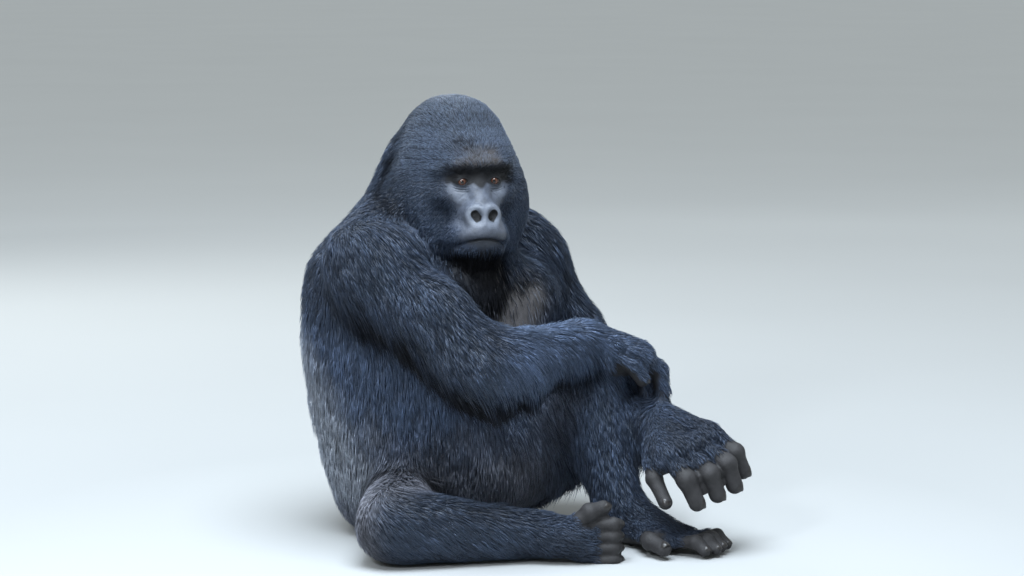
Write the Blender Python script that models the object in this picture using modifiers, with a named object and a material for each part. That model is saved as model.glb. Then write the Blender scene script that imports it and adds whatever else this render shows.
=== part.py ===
"""A seated silverback mountain gorilla, life size, as a still museum model.

Run with: blender --background --python part.py

Metres, +Z up. The animal sits on the plane z = 0 and its trunk faces -Y, so its left side is +X. It is
built with the origin under its rump, and then moved level so that the origin is in the middle of its
outline from above. The head is turned to the animal's right. The left knee is raised with the right
forearm across it, and the left arm reaches round the outside of that knee. The solids are the outer form
of the coat. Each named part is a union of rounded masses, made one by a voxel remesh, and then cut back
from the parts that come before it, so that neighbours meet with a hair's gap.
"""

import math

import bmesh
import bpy
from mathutils import Matrix, Vector
from mathutils.bvhtree import BVHTree

# Driving dimensions.
JOINT_GAP = 0.0004  # between two parts that meet
SHOULDER_HEIGHT = 0.62
HIP_HEIGHT = 0.14
KNEE_UP_HEIGHT = 0.295  # of the raised left knee
HEAD_TURN = math.radians(-32.0)  # to the animal's right
HEAD_CENTRE = Vector((-0.008, -0.057, 0.79))
EYE_RADIUS = 0.0135
EYE_SPREAD = 0.036  # from the middle of the face to each pupil

# Joints of the seated skeleton.
SHOULDER = {
    "right": Vector((-0.26, -0.01, SHOULDER_HEIGHT)),
    "left": Vector((0.225, -0.02, SHOULDER_HEIGHT)),
}
ELBOW = {"right": Vector((-0.258, -0.350, 0.408)), "left": Vector((0.350, -0.195, 0.225))}
WRIST = {"right": Vector((0.060, -0.352, 0.440)), "left": Vector((0.188, -0.485, 0.252))}
HIP = {"right": Vector((-0.15, -0.03, HIP_HEIGHT - 0.05)), "left": Vector((0.13, 0.0, HIP_HEIGHT + 0.01))}
KNEE = {"right": Vector((-0.38, -0.20, 0.084)), "left": Vector((0.125, -0.335, KNEE_UP_HEIGHT))}
ANKLE = {"right": Vector((-0.14, -0.40, 0.058)), "left": Vector((0.112, -0.42, 0.078))}

COAT = {"black": (0.012, 0.013, 0.016), "silver": (0.10, 0.10, 0.105), "skin": (0.035, 0.033, 0.034)}


def clear_scene():
    for obj in list(bpy.data.objects):
        bpy.data.objects.remove(obj, do_unlink=True)


def material(name, colour, roughness):
    made = bpy.data.materials.new(name)
    made.use_nodes = True
    shader = made.node_tree.nodes["Principled BSDF"]
    shader.inputs["Base Color"].default_value = (*colour, 1.0)
    shader.inputs["Roughness"].default_value = roughness
    return made


# Masses: each function below gives a bmesh of one rounded form.


def ball(centre, radii, turn=None):
    """An ellipsoid; turn is a rotation matrix of its axes."""
    form = bmesh.new()
    bmesh.ops.create_uvsphere(form, u_segments=32, v_segments=20, radius=1.0)
    place = Matrix.Translation(centre) @ (turn.to_4x4() if turn else Matrix.Identity(4))
    bmesh.ops.transform(form, matrix=place @ Matrix.Diagonal((*radii, 1.0)), verts=form.verts)
    return form


def tapered(start, end, start_radius, end_radius, flatten=1.0, across=None):
    """A cone with round ends. flatten squashes its section across the direction named by across."""
    form = bmesh.new()
    axis = end - start
    side = (across or Vector((0, 0, 1))).normalized()
    upright = Matrix.Translation((start + end) / 2) @ axis.to_track_quat("Z", "Y").to_matrix().to_4x4()
    made = bmesh.ops.create_cone(
        form, cap_ends=True, segments=28, radius1=start_radius, radius2=end_radius, depth=axis.length
    )
    bmesh.ops.transform(form, matrix=upright, verts=made["verts"])
    for centre, radius in ((start, start_radius), (end, end_radius)):
        made = bmesh.ops.create_uvsphere(form, u_segments=28, v_segments=16, radius=radius)
        bmesh.ops.translate(form, vec=centre, verts=made["verts"])
    if flatten != 1.0:
        middle = (start + end) / 2
        for vert in form.verts:
            offset = (vert.co - middle).dot(side)
            vert.co -= side * offset * (1.0 - flatten)
    return form


def chain(points, radii):
    """Tapered lengths through several points, such as a finger or a lip."""
    return [tapered(a, b, ra, rb) for a, b, ra, rb in zip(points, points[1:], radii, radii[1:])]


def fuse(name, masses, voxel, faces, smooth=6):
    """One closed object from overlapping masses: voxel remesh, smoothing, then fewer faces."""
    mesh = bpy.data.meshes.new(name)
    joined = bmesh.new()
    for mass in masses:
        piece = bpy.data.meshes.new("mass")
        mass.to_mesh(piece)
        mass.free()
        joined.from_mesh(piece)
        bpy.data.meshes.remove(piece)
    joined.to_mesh(mesh)
    joined.free()
    obj = bpy.data.objects.new(name, mesh)
    bpy.context.scene.collection.objects.link(obj)
    remesh = obj.modifiers.new("Remesh", "REMESH")
    remesh.mode = "VOXEL"
    remesh.voxel_size = voxel
    soften = obj.modifiers.new("Soften", "SMOOTH")
    soften.factor = 0.5
    soften.iterations = smooth
    bake(obj)
    fewer = obj.modifiers.new("Fewer", "DECIMATE")
    fewer.ratio = min(1.0, faces / (2 * len(obj.data.polygons)))
    bake(obj)
    return obj


def bake(obj):
    """Replaces the object's mesh by what its modifiers make."""
    graph = bpy.context.evaluated_depsgraph_get()
    made = bpy.data.meshes.new_from_object(obj.evaluated_get(graph))
    old = obj.data
    obj.modifiers.clear()
    obj.data = made
    bpy.data.meshes.remove(old)


def keep_largest(obj):
    """Drops the crumbs that a cut may leave beside the main body."""
    form = bmesh.new()
    form.from_mesh(obj.data)
    form.verts.ensure_lookup_table()
    unseen = set(form.verts)
    islands = []
    while unseen:
        edge = [unseen.pop()]
        island = list(edge)
        while edge:
            for link in edge.pop().link_edges:
                for vert in link.verts:
                    if vert in unseen:
                        unseen.remove(vert)
                        edge.append(vert)
                        island.append(vert)
        islands.append(island)
    islands.sort(key=len)
    for island in islands[:-1]:
        bmesh.ops.delete(form, geom=island, context="VERTS")
    form.to_mesh(obj.data)
    form.free()


def cut(obj, cutter, grow=JOINT_GAP):
    """Takes the cutter, grown by the joint gap, out of the object."""
    swell = cutter.modifiers.new("Swell", "DISPLACE")
    swell.mid_level = 0.0
    swell.strength = grow
    taken = obj.modifiers.new("Cut", "BOOLEAN")
    taken.operation = "DIFFERENCE"
    taken.solver = "EXACT"
    taken.object = cutter
    bake(obj)
    cutter.modifiers.clear()
    keep_largest(obj)


def surface_tree(obj):
    """A search tree of the object's faces."""
    form = bmesh.new()
    form.from_mesh(obj.data)
    tree = BVHTree.FromBMesh(form)
    form.free()
    return tree


def crosses(first, second):
    """Whether the surfaces of two objects run through each other."""
    return bool(surface_tree(first).overlap(surface_tree(second)))


def floor_block():
    """Everything under z = 0."""
    bpy.ops.mesh.primitive_cube_add(size=3.0)
    block = bpy.context.object
    block.name = "floor_cutter"
    block.data.transform(Matrix.Translation((0, 0, -1.5)))
    block.hide_render = True
    block.display_type = "WIRE"
    return block


# The head, in its own frame: x to its left, y out of the face, z up.


def head_frame():
    """Head coordinates (left, forward, up) to world coordinates."""
    turn = Matrix.Rotation(HEAD_TURN, 4, "Z")
    face_to_minus_y = Matrix(((1, 0, 0, 0), (0, -1, 0, 0), (0, 0, 1, 0), (0, 0, 0, 1)))
    return Matrix.Translation(HEAD_CENTRE) @ turn @ face_to_minus_y


def head_ball(left, forward, up, radii, tilt=0.0):
    """An ellipsoid in the head's frame, tilted about the ear-to-ear axis."""
    frame = head_frame()
    turn = frame.to_3x3() @ Matrix.Rotation(tilt, 3, "X")
    return ball(frame @ Vector((left, forward, up)), radii, turn)


def head_arc(half_width, back, reach, up, drop, radii):
    """A ridge that goes round the front of the face, such as a brow or a lip, from one side to the other."""
    frame = head_frame()
    count = len(radii)
    angles = [math.radians(-62.0 + 124.0 * step / (count - 1)) for step in range(count)]
    points = [Vector((half_width * math.sin(a), back + reach * math.cos(a), up - drop * math.sin(a) ** 2))
              for a in angles]
    return chain([frame @ point for point in points], radii)


def head_masses():
    frame = head_frame()
    masses = [
        head_ball(0, -0.030, 0.020, (0.142, 0.155, 0.125)),  # braincase and temples
        head_ball(0, -0.030, 0.085, (0.117, 0.125, 0.103)),  # crest
        head_ball(0, 0.048, 0.052, (0.108, 0.120, 0.078)),  # forehead
        head_ball(0, 0.050, -0.140, (0.128, 0.110, 0.072)),  # jaw
        head_ball(0, 0.118, -0.102, (0.074, 0.094, 0.062)),  # muzzle
        head_ball(0, 0.198, -0.058, (0.034, 0.030, 0.024)),  # nose pad
        head_ball(0, 0.122, -0.176, (0.068, 0.076, 0.076)),  # chin and beard
    ]
    for side in (-1, 1):
        masses.append(head_ball(side * 0.083, 0.014, -0.058, (0.088, 0.114, 0.116)))  # cheek coat
        masses.append(head_ball(side * 0.052, 0.104, -0.036, (0.052, 0.052, 0.044)))  # cheekbone
        masses.append(head_ball(side * 0.024, 0.200, -0.064, (0.019, 0.024, 0.020)))  # wing of the nose
    points = [frame @ Vector(p) for p in ((0, 0.156, 0.020), (0, 0.166, -0.015), (0, 0.194, -0.046))]
    masses += chain(points, (0.014, 0.014, 0.018))  # bridge of the nose
    masses += head_arc(0.094, 0.058, 0.112, 0.043, 0.008, (0.017, 0.019, 0.020, 0.019, 0.020, 0.019, 0.017))
    masses += head_arc(0.062, 0.108, 0.097, -0.106, 0.016, (0.019,) * 7)  # upper lip
    masses += head_arc(0.056, 0.104, 0.094, -0.143, 0.016, (0.018,) * 7)  # lower lip
    return masses


def build_head():
    head = fuse("head", head_masses(), voxel=0.0055, faces=1780, smooth=4)
    for side in (-1, 1):
        hollow = head_ball(side * 0.037, 0.188, 0.005, (0.025, 0.028, 0.016))
        socket = fuse("socket", [hollow], 0.005, 160, 2)
        hollow = head_ball(side * 0.016, 0.228, -0.062, (0.009, 0.018, 0.010))
        nostril = fuse("nostril", [hollow], 0.003, 90, 1)
        for cutter in (socket, nostril):
            cut(head, cutter, 0.0)
            bpy.data.objects.remove(cutter)
    return head


def build_eyes():
    eyes = []
    for side, name in ((-1, "eye_right"), (1, "eye_left")):
        mesh = bpy.data.meshes.new(name)
        form = bmesh.new()
        bmesh.ops.create_icosphere(form, subdivisions=2, radius=EYE_RADIUS)
        centre = head_frame() @ Vector((side * EYE_SPREAD, 0.153, 0.004))
        bmesh.ops.translate(form, vec=centre, verts=form.verts)
        form.to_mesh(mesh)
        form.free()
        eye = bpy.data.objects.new(name, mesh)
        bpy.context.scene.collection.objects.link(eye)
        eyes.append(eye)
    return eyes


def build_ears():
    ears = []
    for side, name in ((-1, "ear_right"), (1, "ear_left")):
        masses = [
            head_ball(side * 0.137, 0.020, 0.026, (0.013, 0.022, 0.030)),
            head_ball(side * 0.136, 0.028, 0.000, (0.011, 0.013, 0.013)),
        ]
        ears.append(fuse(name, masses, 0.0035, 150, 2))
    return ears


# The body, in four chains: trunk with neck, two arms, two legs.


def slice_to(obj, point, outward):
    """Keeps what lies behind the plane through point, less half the joint gap, and closes the cut."""
    outward = outward.normalized()
    form = bmesh.new()
    form.from_mesh(obj.data)
    everything = form.verts[:] + form.edges[:] + form.faces[:]
    bmesh.ops.bisect_plane(
        form, geom=everything, plane_co=point - outward * JOINT_GAP / 2, plane_no=outward, clear_outer=True
    )
    bmesh.ops.remove_doubles(form, verts=form.verts, dist=0.0003)
    bmesh.ops.holes_fill(form, edges=[edge for edge in form.edges if edge.is_boundary])
    form.to_mesh(obj.data)
    form.free()


def part_chain(whole, names, planes):
    """Parts a fused limb into its named lengths. Each plane is a point and the direction towards the next."""
    parts = []
    for index, name in enumerate(names):
        piece = whole.copy()
        piece.data = whole.data.copy()
        piece.name = name
        bpy.context.scene.collection.objects.link(piece)
        if index > 0:
            point, onward = planes[index - 1]
            slice_to(piece, point, -onward)
        if index < len(planes):
            point, onward = planes[index]
            slice_to(piece, point, onward)
        keep_largest(piece)
        parts.append(piece)
    bpy.data.objects.remove(whole)
    return parts


def mid_direction(before, at, after):
    """The direction halfway between two lengths that meet at a joint."""
    return ((at - before).normalized() + (after - at).normalized()).normalized()


def loft(stations):
    """A closed form through level oval sections, each a height, a middle (x, y) and two half-sizes."""
    form = bmesh.new()
    count = 40
    rings = []
    for height, middle_x, middle_y, half_width, half_depth in stations:
        turns = [2.0 * math.pi * step / count for step in range(count)]
        rings.append([
            form.verts.new((middle_x + half_width * math.cos(a), middle_y + half_depth * math.sin(a), height))
            for a in turns
        ])
    for lower, upper in zip(rings, rings[1:]):
        for step in range(count):
            after = (step + 1) % count
            form.faces.new((lower[step], lower[after], upper[after], upper[step]))
    form.faces.new(tuple(reversed(rings[0])))
    form.faces.new(rings[-1])
    return form


def build_trunk():
    """Rump to nape in one, then parted at the root of the neck."""
    stations = (
        # height, middle x, middle y, half-width, half-depth
        (-0.010, 0.0, 0.050, 0.175, 0.155),  # seat
        (0.040, 0.0, 0.045, 0.222, 0.180),
        (0.120, 0.0, 0.038, 0.256, 0.210),  # hips
        (0.250, 0.0, 0.028, 0.292, 0.256),  # belly
        (0.400, 0.0, 0.033, 0.314, 0.270),  # lower ribs
        (0.520, 0.0, 0.050, 0.318, 0.232),  # chest
        (0.600, 0.0, 0.082, 0.298, 0.186),
        (0.660, 0.0, 0.088, 0.238, 0.142),  # shoulders
        (0.710, -0.002, 0.075, 0.174, 0.120),
        (0.760, -0.004, 0.057, 0.122, 0.114),  # neck
        (0.820, -0.006, 0.043, 0.106, 0.102),
        (0.870, -0.006, 0.030, 0.094, 0.092),
        (0.905, -0.006, 0.022, 0.070, 0.066),
    )
    masses = [loft(stations)]
    for side, name in ((-1, "right"), (1, "left")):
        masses.append(ball(Vector((side * 0.10, -0.140, 0.515)), (0.130, 0.086, 0.104)))  # breast
        inner = Vector((side * 0.07, 0.045, 0.700))
        masses.append(tapered(inner, SHOULDER[name] + Vector((-side * 0.03, 0.025, 0.015)), 0.088, 0.090))
    masses.append(ball(Vector((0.02, -0.150, 0.160)), (0.150, 0.130, 0.125)))  # lower belly
    under_jaw = head_frame() @ Vector((0, -0.01, -0.08))
    masses.append(tapered(Vector((-0.005, -0.03, 0.62)), under_jaw, 0.135, 0.110))  # throat
    whole = fuse("torso", masses, 0.014, 760, 14)
    throat = Vector((-0.01, 0.02, 0.70)), Vector((-0.12, -0.35, 0.93))
    return part_chain(whole, ("trunk", "neck"), (throat,))


def build_arm(side):
    shoulder, elbow, wrist = SHOULDER[side], ELBOW[side], WRIST[side]
    masses = [
        tapered(shoulder, elbow, 0.102, 0.092),
        ball(shoulder.lerp(elbow, 0.12), (0.114, 0.120, 0.125)),  # deltoid
        ball(shoulder.lerp(elbow, 0.58) + Vector((0, -0.010, 0.016)), (0.100, 0.100, 0.100)),  # biceps
        tapered(elbow, wrist, 0.090, 0.064),
        ball(elbow.lerp(wrist, 0.30), (0.092, 0.092, 0.094)),  # belly of the forearm
        tapered(wrist, wrist + (wrist - elbow) * 0.10, 0.062, 0.052),
    ]
    whole = fuse("arm", masses, 0.011, 460, 8)
    planes = ((elbow, mid_direction(shoulder, elbow, wrist)), (wrist, wrist - elbow))
    return part_chain(whole, ("upper_arm_" + side, "forearm_" + side), planes)


def digit(root, bend, tip, radius):
    """A finger or toe of two lengths, a little slimmer at its end."""
    return chain([root, bend, tip], (radius * 1.08, radius, radius * 0.86))


def build_left_hand():
    """Hangs from the wrist, palm down, the fingers half curled."""
    wrist = WRIST["left"]
    knuckle_a, knuckle_d = Vector((0.078, -0.578, 0.215)), Vector((0.212, -0.600, 0.236))
    masses = [tapered(wrist - (wrist - ELBOW["left"]) * 0.1, wrist, 0.062, 0.060),
              tapered(wrist, wrist.lerp(knuckle_a, 0.75), 0.058, 0.048),
              tapered(wrist, wrist.lerp(knuckle_d, 0.75), 0.056, 0.048),
              tapered(knuckle_a, knuckle_d, 0.039, 0.036)]
    bends = ((0.070, -0.634, 0.172), (0.118, -0.660, 0.180), (0.168, -0.668, 0.196), (0.218, -0.652, 0.212))
    tips = ((0.084, -0.652, 0.122), (0.130, -0.672, 0.136), (0.178, -0.682, 0.150), (0.232, -0.664, 0.172))
    for step, (bend, tip) in enumerate(zip(bends, tips)):
        root = knuckle_a.lerp(knuckle_d, step / 3.0)
        masses += digit(root, Vector(bend), Vector(tip), 0.0215)
    thumb = Vector((0.096, -0.515, 0.215)), Vector((0.060, -0.556, 0.166)), Vector((0.052, -0.592, 0.120))
    masses += digit(*thumb, 0.018)
    return fuse("hand_left", masses, 0.0055, 760, 4)


def build_right_hand():
    """Lies palm down over the raised knee, the fingers hanging beyond it."""
    wrist = WRIST["right"]
    first, apart = Vector((0.160, -0.443, 0.408)), Vector((0.002, 0.039, -0.004))
    knuckles = [first + apart * step for step in range(4)]
    masses = [tapered(wrist - (wrist - ELBOW["right"]) * 0.1, wrist, 0.068, 0.064),
              tapered(wrist, knuckles[0].lerp(wrist, 0.15), 0.062, 0.048),
              tapered(wrist, knuckles[3].lerp(wrist, 0.15), 0.062, 0.048)]
    masses += [tapered(knuckles[0], knuckles[3], 0.038, 0.036)]
    for step, knuckle in enumerate(knuckles):
        bend = knuckle + Vector((0.052, -0.006 + 0.003 * step, -0.034))
        masses += digit(knuckle, bend, bend + Vector((0.010, -0.004, -0.056)), 0.0185)
    thumb = Vector((0.020, -0.050, -0.010)), Vector((0.062, -0.092, -0.045)), Vector((0.086, -0.104, -0.080))
    masses += digit(*(wrist + offset for offset in thumb), 0.0175)
    return fuse("hand_right", masses, 0.0055, 620, 3)


def build_leg(side):
    hip, knee, ankle = HIP[side], KNEE[side], ANKLE[side]
    thigh = {"right": (0.092, 0.089), "left": (0.122, 0.088)}[side]
    calf = {"right": (0.086, 0.058), "left": (0.084, 0.062)}[side]
    masses = [
        tapered(hip, knee, *thigh),
        tapered(knee, ankle, *calf),
        ball(knee.lerp(ankle, 0.35), (0.078, 0.078, 0.082)),  # calf
        tapered(ankle, ankle + (ankle - knee) * 0.08, calf[1], calf[1] * 0.9),
    ]
    if side == "left":
        masses.append(tapered(hip + Vector((0, -0.08, -0.05)), hip.lerp(knee, 0.68) + Vector((0, 0, -0.075)),
                              0.095, 0.088))  # the heavy underside of the raised thigh
    whole = fuse("leg", masses, 0.011, 420, 8)
    planes = ((knee, mid_direction(hip, knee, ankle)), (ankle, ankle - knee))
    return part_chain(whole, ("thigh_" + side, "shin_" + side), planes)


def build_left_foot():
    """Flat on the ground, its great toe held apart like a thumb."""
    ankle = ANKLE["left"]
    masses = [
        tapered(Vector((0.116, -0.372, 0.036)), Vector((0.118, -0.500, 0.042)), 0.046, 0.044),
        tapered(ankle - (ankle - KNEE["left"]) * 0.1, ankle, 0.064, 0.060),
        tapered(ankle, Vector((0.120, -0.545, 0.045)), 0.056, 0.036),
        tapered(Vector((0.082, -0.555, 0.031)), Vector((0.168, -0.560, 0.028)), 0.034, 0.029),
    ]
    for step in range(4):
        root = Vector((0.094 + 0.0265 * step, -0.585, 0.028))
        reach = 0.064 - 0.008 * abs(step - 1)
        bend = root + Vector((0.003 * step, -reach, 0.006))
        masses += digit(root, bend, bend + Vector((0.002, -0.024, -0.016)), 0.0145)
    great_toe = Vector((0.080, -0.515, 0.034)), Vector((0.044, -0.560, 0.032)), Vector((0.032, -0.604, 0.024))
    masses += digit(*great_toe, 0.0190)
    return fuse("foot_left", masses, 0.005, 560, 3)


def build_right_foot():
    """On its outer edge, sole turned back, great toe uppermost."""
    ankle, ball_of_foot = ANKLE["right"], Vector((-0.108, -0.486, 0.056))
    masses = [
        tapered(Vector((-0.195, -0.365, 0.042)), ball_of_foot, 0.046, 0.044),
        tapered(ankle - (ankle - KNEE["right"]) * 0.1, ankle, 0.062, 0.058),
        tapered(ankle, ball_of_foot, 0.056, 0.040),
        tapered(ball_of_foot + Vector((0, 0, 0.022)), ball_of_foot + Vector((0, 0, -0.026)), 0.033, 0.030),
    ]
    for step in range(4):
        root = ball_of_foot + Vector((0.012, -0.012, 0.026 - 0.0255 * step))
        bend = root + Vector((0.038, -0.040, 0.001))
        masses += digit(root, bend, bend + Vector((0.024, 0.006, -0.004)), 0.0145)
    great_toe = Vector((-0.016, 0.006, 0.026)), Vector((0.006, -0.022, 0.056)), Vector((0.038, -0.034, 0.062))
    masses += digit(*(ball_of_foot + offset for offset in great_toe), 0.0185)
    return fuse("foot_right", masses, 0.005, 520, 3)


def centre_on_floor(parts):
    """Moves the whole animal so that the middle of its outline, seen from above, is at x = y = 0."""
    corners = [vert.co for part in parts for vert in part.data.vertices]
    middle = [(min(c[axis] for c in corners) + max(c[axis] for c in corners)) / 2 for axis in range(2)]
    for part in parts:
        part.data.transform(Matrix.Translation((-middle[0], -middle[1], 0.0)))


def build():
    clear_scene()
    sides = ("right", "left")
    legs = {side: build_leg(side) for side in sides}
    arms = {side: build_arm(side) for side in sides}
    feet = {"right": build_right_foot(), "left": build_left_foot()}
    hands = {"right": build_right_hand(), "left": build_left_hand()}
    for side in sides:
        slice_to(feet[side], ANKLE[side], KNEE[side] - ANKLE[side])
        slice_to(hands[side], WRIST[side], ELBOW[side] - WRIST[side])
    chains = [build_eyes(), [build_head()], build_ears(), build_trunk()]
    chains += [legs[side] + [feet[side]] for side in ("left", "right")]
    chains += [arms[side] + [hands[side]] for side in ("left", "right")]
    floor = floor_block()
    for index, links in enumerate(chains):
        for part in links:
            for earlier in (other for before in chains[:index] for other in before):
                if crosses(part, earlier):
                    cut(part, earlier)
            if crosses(part, floor):
                cut(part, floor, 0.0)
    bpy.data.objects.remove(floor)
    parts = [part for links in chains for part in links]
    centre_on_floor(parts)
    return parts


def dress(parts):
    black = material("coat_black", COAT["black"], 0.55)
    skin = material("bare_skin", COAT["skin"], 0.5)
    eye = material("eye", (0.02, 0.008, 0.004), 0.1)
    gorilla = bpy.data.collections.new("gorilla")
    bpy.context.scene.collection.children.link(gorilla)
    for part in parts:
        kind = part.name.split("_")[0]
        look = {"eye": eye, "hand": skin, "foot": skin, "ear": skin}.get(kind, black)
        part.data.materials.clear()
        part.data.materials.append(look)
        part.data.shade_smooth()
        part.data.set_sharp_from_angle(angle=math.radians(50))
        gorilla.objects.link(part)
        bpy.context.scene.collection.objects.unlink(part)


dress(build())
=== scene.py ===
# The looks of the seated silverback: skin, coat in tufts, eyes, ears, nails, then floor, camera and lights.
import math
import time

import bmesh
import bpy
import numpy as np
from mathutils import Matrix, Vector
from mathutils.bvhtree import BVHTree
from mathutils.kdtree import KDTree


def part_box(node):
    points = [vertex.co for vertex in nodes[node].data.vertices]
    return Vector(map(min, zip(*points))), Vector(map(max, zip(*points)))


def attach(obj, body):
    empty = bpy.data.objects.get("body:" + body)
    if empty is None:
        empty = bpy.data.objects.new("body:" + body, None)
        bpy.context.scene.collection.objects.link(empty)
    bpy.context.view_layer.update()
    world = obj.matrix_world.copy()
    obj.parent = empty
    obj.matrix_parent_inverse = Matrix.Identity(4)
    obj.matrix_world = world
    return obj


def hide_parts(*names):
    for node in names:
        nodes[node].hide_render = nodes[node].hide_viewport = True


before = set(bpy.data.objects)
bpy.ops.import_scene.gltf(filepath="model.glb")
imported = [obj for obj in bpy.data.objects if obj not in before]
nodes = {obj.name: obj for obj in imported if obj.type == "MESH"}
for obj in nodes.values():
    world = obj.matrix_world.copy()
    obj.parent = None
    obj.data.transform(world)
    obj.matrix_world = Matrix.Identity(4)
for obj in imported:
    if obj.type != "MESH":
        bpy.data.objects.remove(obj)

started = time.time()
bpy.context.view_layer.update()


def report(words):
    print("[%5.1f s] %s" % (time.time() - started, words))


# Small helpers for arrays of points.


def step01(low, high, value):
    t = np.clip((value - low) / (high - low), 0.0, 1.0)
    return t * t * (3.0 - 2.0 * t)


def mix(a, b, share):
    return a + (b - a) * share


def unit(vectors):
    return vectors / np.maximum(np.linalg.norm(vectors, axis=-1, keepdims=True), 1e-9)


def length(vectors):
    return np.linalg.norm(vectors, axis=-1)


def hump(value, width):
    # 1 where the value is 0, falling off smoothly to either side
    return np.exp(-((value / width) ** 2))


def blot(across, width, rise, height):
    return np.exp(-((across / width) ** 2 + (rise / height) ** 2))


def flatten(vectors, normals):
    return unit(vectors - normals * np.sum(vectors * normals, axis=1, keepdims=True))


def pulled(collection, key, width, kind):
    got = np.empty(len(collection) * width, dtype=kind)
    collection.foreach_get(key, got)
    return got.reshape(-1, width)


def coords(mesh):
    return pulled(mesh.vertices, "co", 3, np.float32).astype(float)


def setCoords(mesh, points):
    mesh.vertices.foreach_set("co", np.ascontiguousarray(points, dtype=np.float32).ravel())
    mesh.update()


def vertexNormals(mesh):
    return unit(pulled(mesh.vertex_normals, "vector", 3, np.float32).astype(float))


def edgesOf(mesh):
    return pulled(mesh.edges, "vertices", 2, np.int32)


def trianglesOf(mesh):
    mesh.calc_loop_triangles()
    return pulled(mesh.loop_triangles, "vertices", 3, np.int32)


def spread(values, edges, rounds, share=0.5):
    # each value moves towards the mean of its neighbours along the mesh
    count = len(values)
    ends = np.concatenate([edges[:, 0], edges[:, 1]])
    others = np.concatenate([edges[:, 1], edges[:, 0]])
    degree = np.maximum(np.bincount(ends, minlength=count), 1)
    flat = np.array(values, dtype=float).reshape(count, -1)
    for _ in range(rounds):
        for column in range(flat.shape[1]):
            mean = np.bincount(ends, weights=flat[others, column], minlength=count) / degree
            flat[:, column] += (mean - flat[:, column]) * share
    return flat.reshape(values.shape)


def noise(points, scale, seed):
    # smooth value noise, from -1 to 1
    table = np.random.default_rng(seed).random((32, 32, 32))
    at = points / scale
    base = np.floor(at).astype(int)
    part = at - base
    part = part * part * (3 - 2 * part)
    total = 0.0
    for corner in range(8):
        offset = np.array([corner & 1, corner >> 1 & 1, corner >> 2 & 1])
        weight = np.prod(np.where(offset, part, 1 - part), axis=1)
        index = (base + offset) % 32
        total = total + weight * table[index[:, 0], index[:, 1], index[:, 2]]
    return total * 2 - 1


def treeOf(points):
    tree = KDTree(len(points))
    for index, point in enumerate(points):
        tree.insert(point, index)
    tree.balance()
    return tree


def nearest(tree, points):
    find = tree.find
    return np.fromiter((find(point)[1] for point in points.tolist()), dtype=np.int64, count=len(points))


def segment(points, start, end):
    # distance of each point from the line between two joints, and how far along it is, from 0 to 1
    start, end = np.asarray(start), np.asarray(end)
    axis = end - start
    along = np.clip((points - start) @ axis / (axis @ axis), 0.0, 1.0)
    return length(points - start - along[:, None] * axis), along


def attribute(mesh, name, values):
    kind = "FLOAT" if values.ndim == 1 else "FLOAT_COLOR"
    layer = mesh.attributes.new(name, kind, "POINT")
    if kind == "FLOAT":
        layer.data.foreach_set("value", values.astype(np.float32))
    else:
        full = np.ones((len(values), 4), dtype=np.float32)
        full[:, :3] = values
        layer.data.foreach_set("color", full.ravel())


def pick(*objects):
    bpy.ops.object.select_all(action="DESELECT")
    for obj in objects:
        obj.select_set(True)
    bpy.context.view_layer.objects.active = objects[0]


def applyAll(obj):
    pick(obj)
    for modifier in list(obj.modifiers):
        bpy.ops.object.modifier_apply(modifier=modifier.name)


def smoothed(obj):
    pick(obj)
    bpy.ops.object.shade_smooth()
    return obj


def linked(name, data):
    made = bpy.data.objects.new(name, data)
    bpy.context.scene.collection.objects.link(made)
    return made


def sphere(name, segments, rings, radius):
    bpy.ops.object.select_all(action="DESELECT")
    bpy.ops.mesh.primitive_uv_sphere_add(segments=segments, ring_count=rings, radius=radius)
    ball = bpy.context.active_object
    ball.name = ball.data.name = name
    return ball


def stand(obj, place, way):
    # puts a camera or a lamp at its place, looking along a direction
    obj.location = Vector(place)
    obj.rotation_mode = "QUATERNION"
    obj.rotation_quaternion = Vector(way).to_track_quat("-Z", "Y")


# Where things are: the head's own axes come from the two eyes, and the joints are measured from the seat.


def middleOf(name):
    low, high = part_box(name)
    return (np.array(low) + np.array(high)) / 2


eye = {"depth": 0.153, "height": 0.004, "spread": 0.036, "radius": 0.0130}
up = np.array([0.0, 0.0, 1.0])
left = unit(middleOf("eye_left") - middleOf("eye_right"))
front = np.cross(left, up)
headMiddle = (middleOf("eye_left") + middleOf("eye_right")) / 2 - front * eye["depth"] - up * eye["height"]
seat = headMiddle - np.array([-0.008, -0.057, 0.79])


def toHead(points):
    away = points - headMiddle
    return np.stack([away @ left, away @ front, away @ up], axis=1)


def fromHead(points):
    points = np.atleast_2d(points)
    return headMiddle + points[:, :1] * left + points[:, 1:2] * front + points[:, 2:3] * up


def fromSeat(*xyz):
    return seat + np.array(xyz)


joints = {
    "shoulder_right": fromSeat(-0.26, -0.01, 0.62),
    "shoulder_left": fromSeat(0.225, -0.02, 0.62),
    "elbow_right": fromSeat(-0.258, -0.350, 0.408),
    "elbow_left": fromSeat(0.350, -0.195, 0.225),
    "wrist_right": fromSeat(0.060, -0.352, 0.440),
    "wrist_left": fromSeat(0.188, -0.485, 0.252),
    "hip_right": fromSeat(-0.15, -0.03, 0.09),
    "hip_left": fromSeat(0.13, 0.0, 0.15),
    "knee_right": fromSeat(-0.38, -0.20, 0.084),
    "knee_left": fromSeat(0.125, -0.335, 0.295),
    "ankle_right": fromSeat(-0.14, -0.40, 0.058),
    "ankle_left": fromSeat(0.112, -0.42, 0.078),
}

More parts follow.
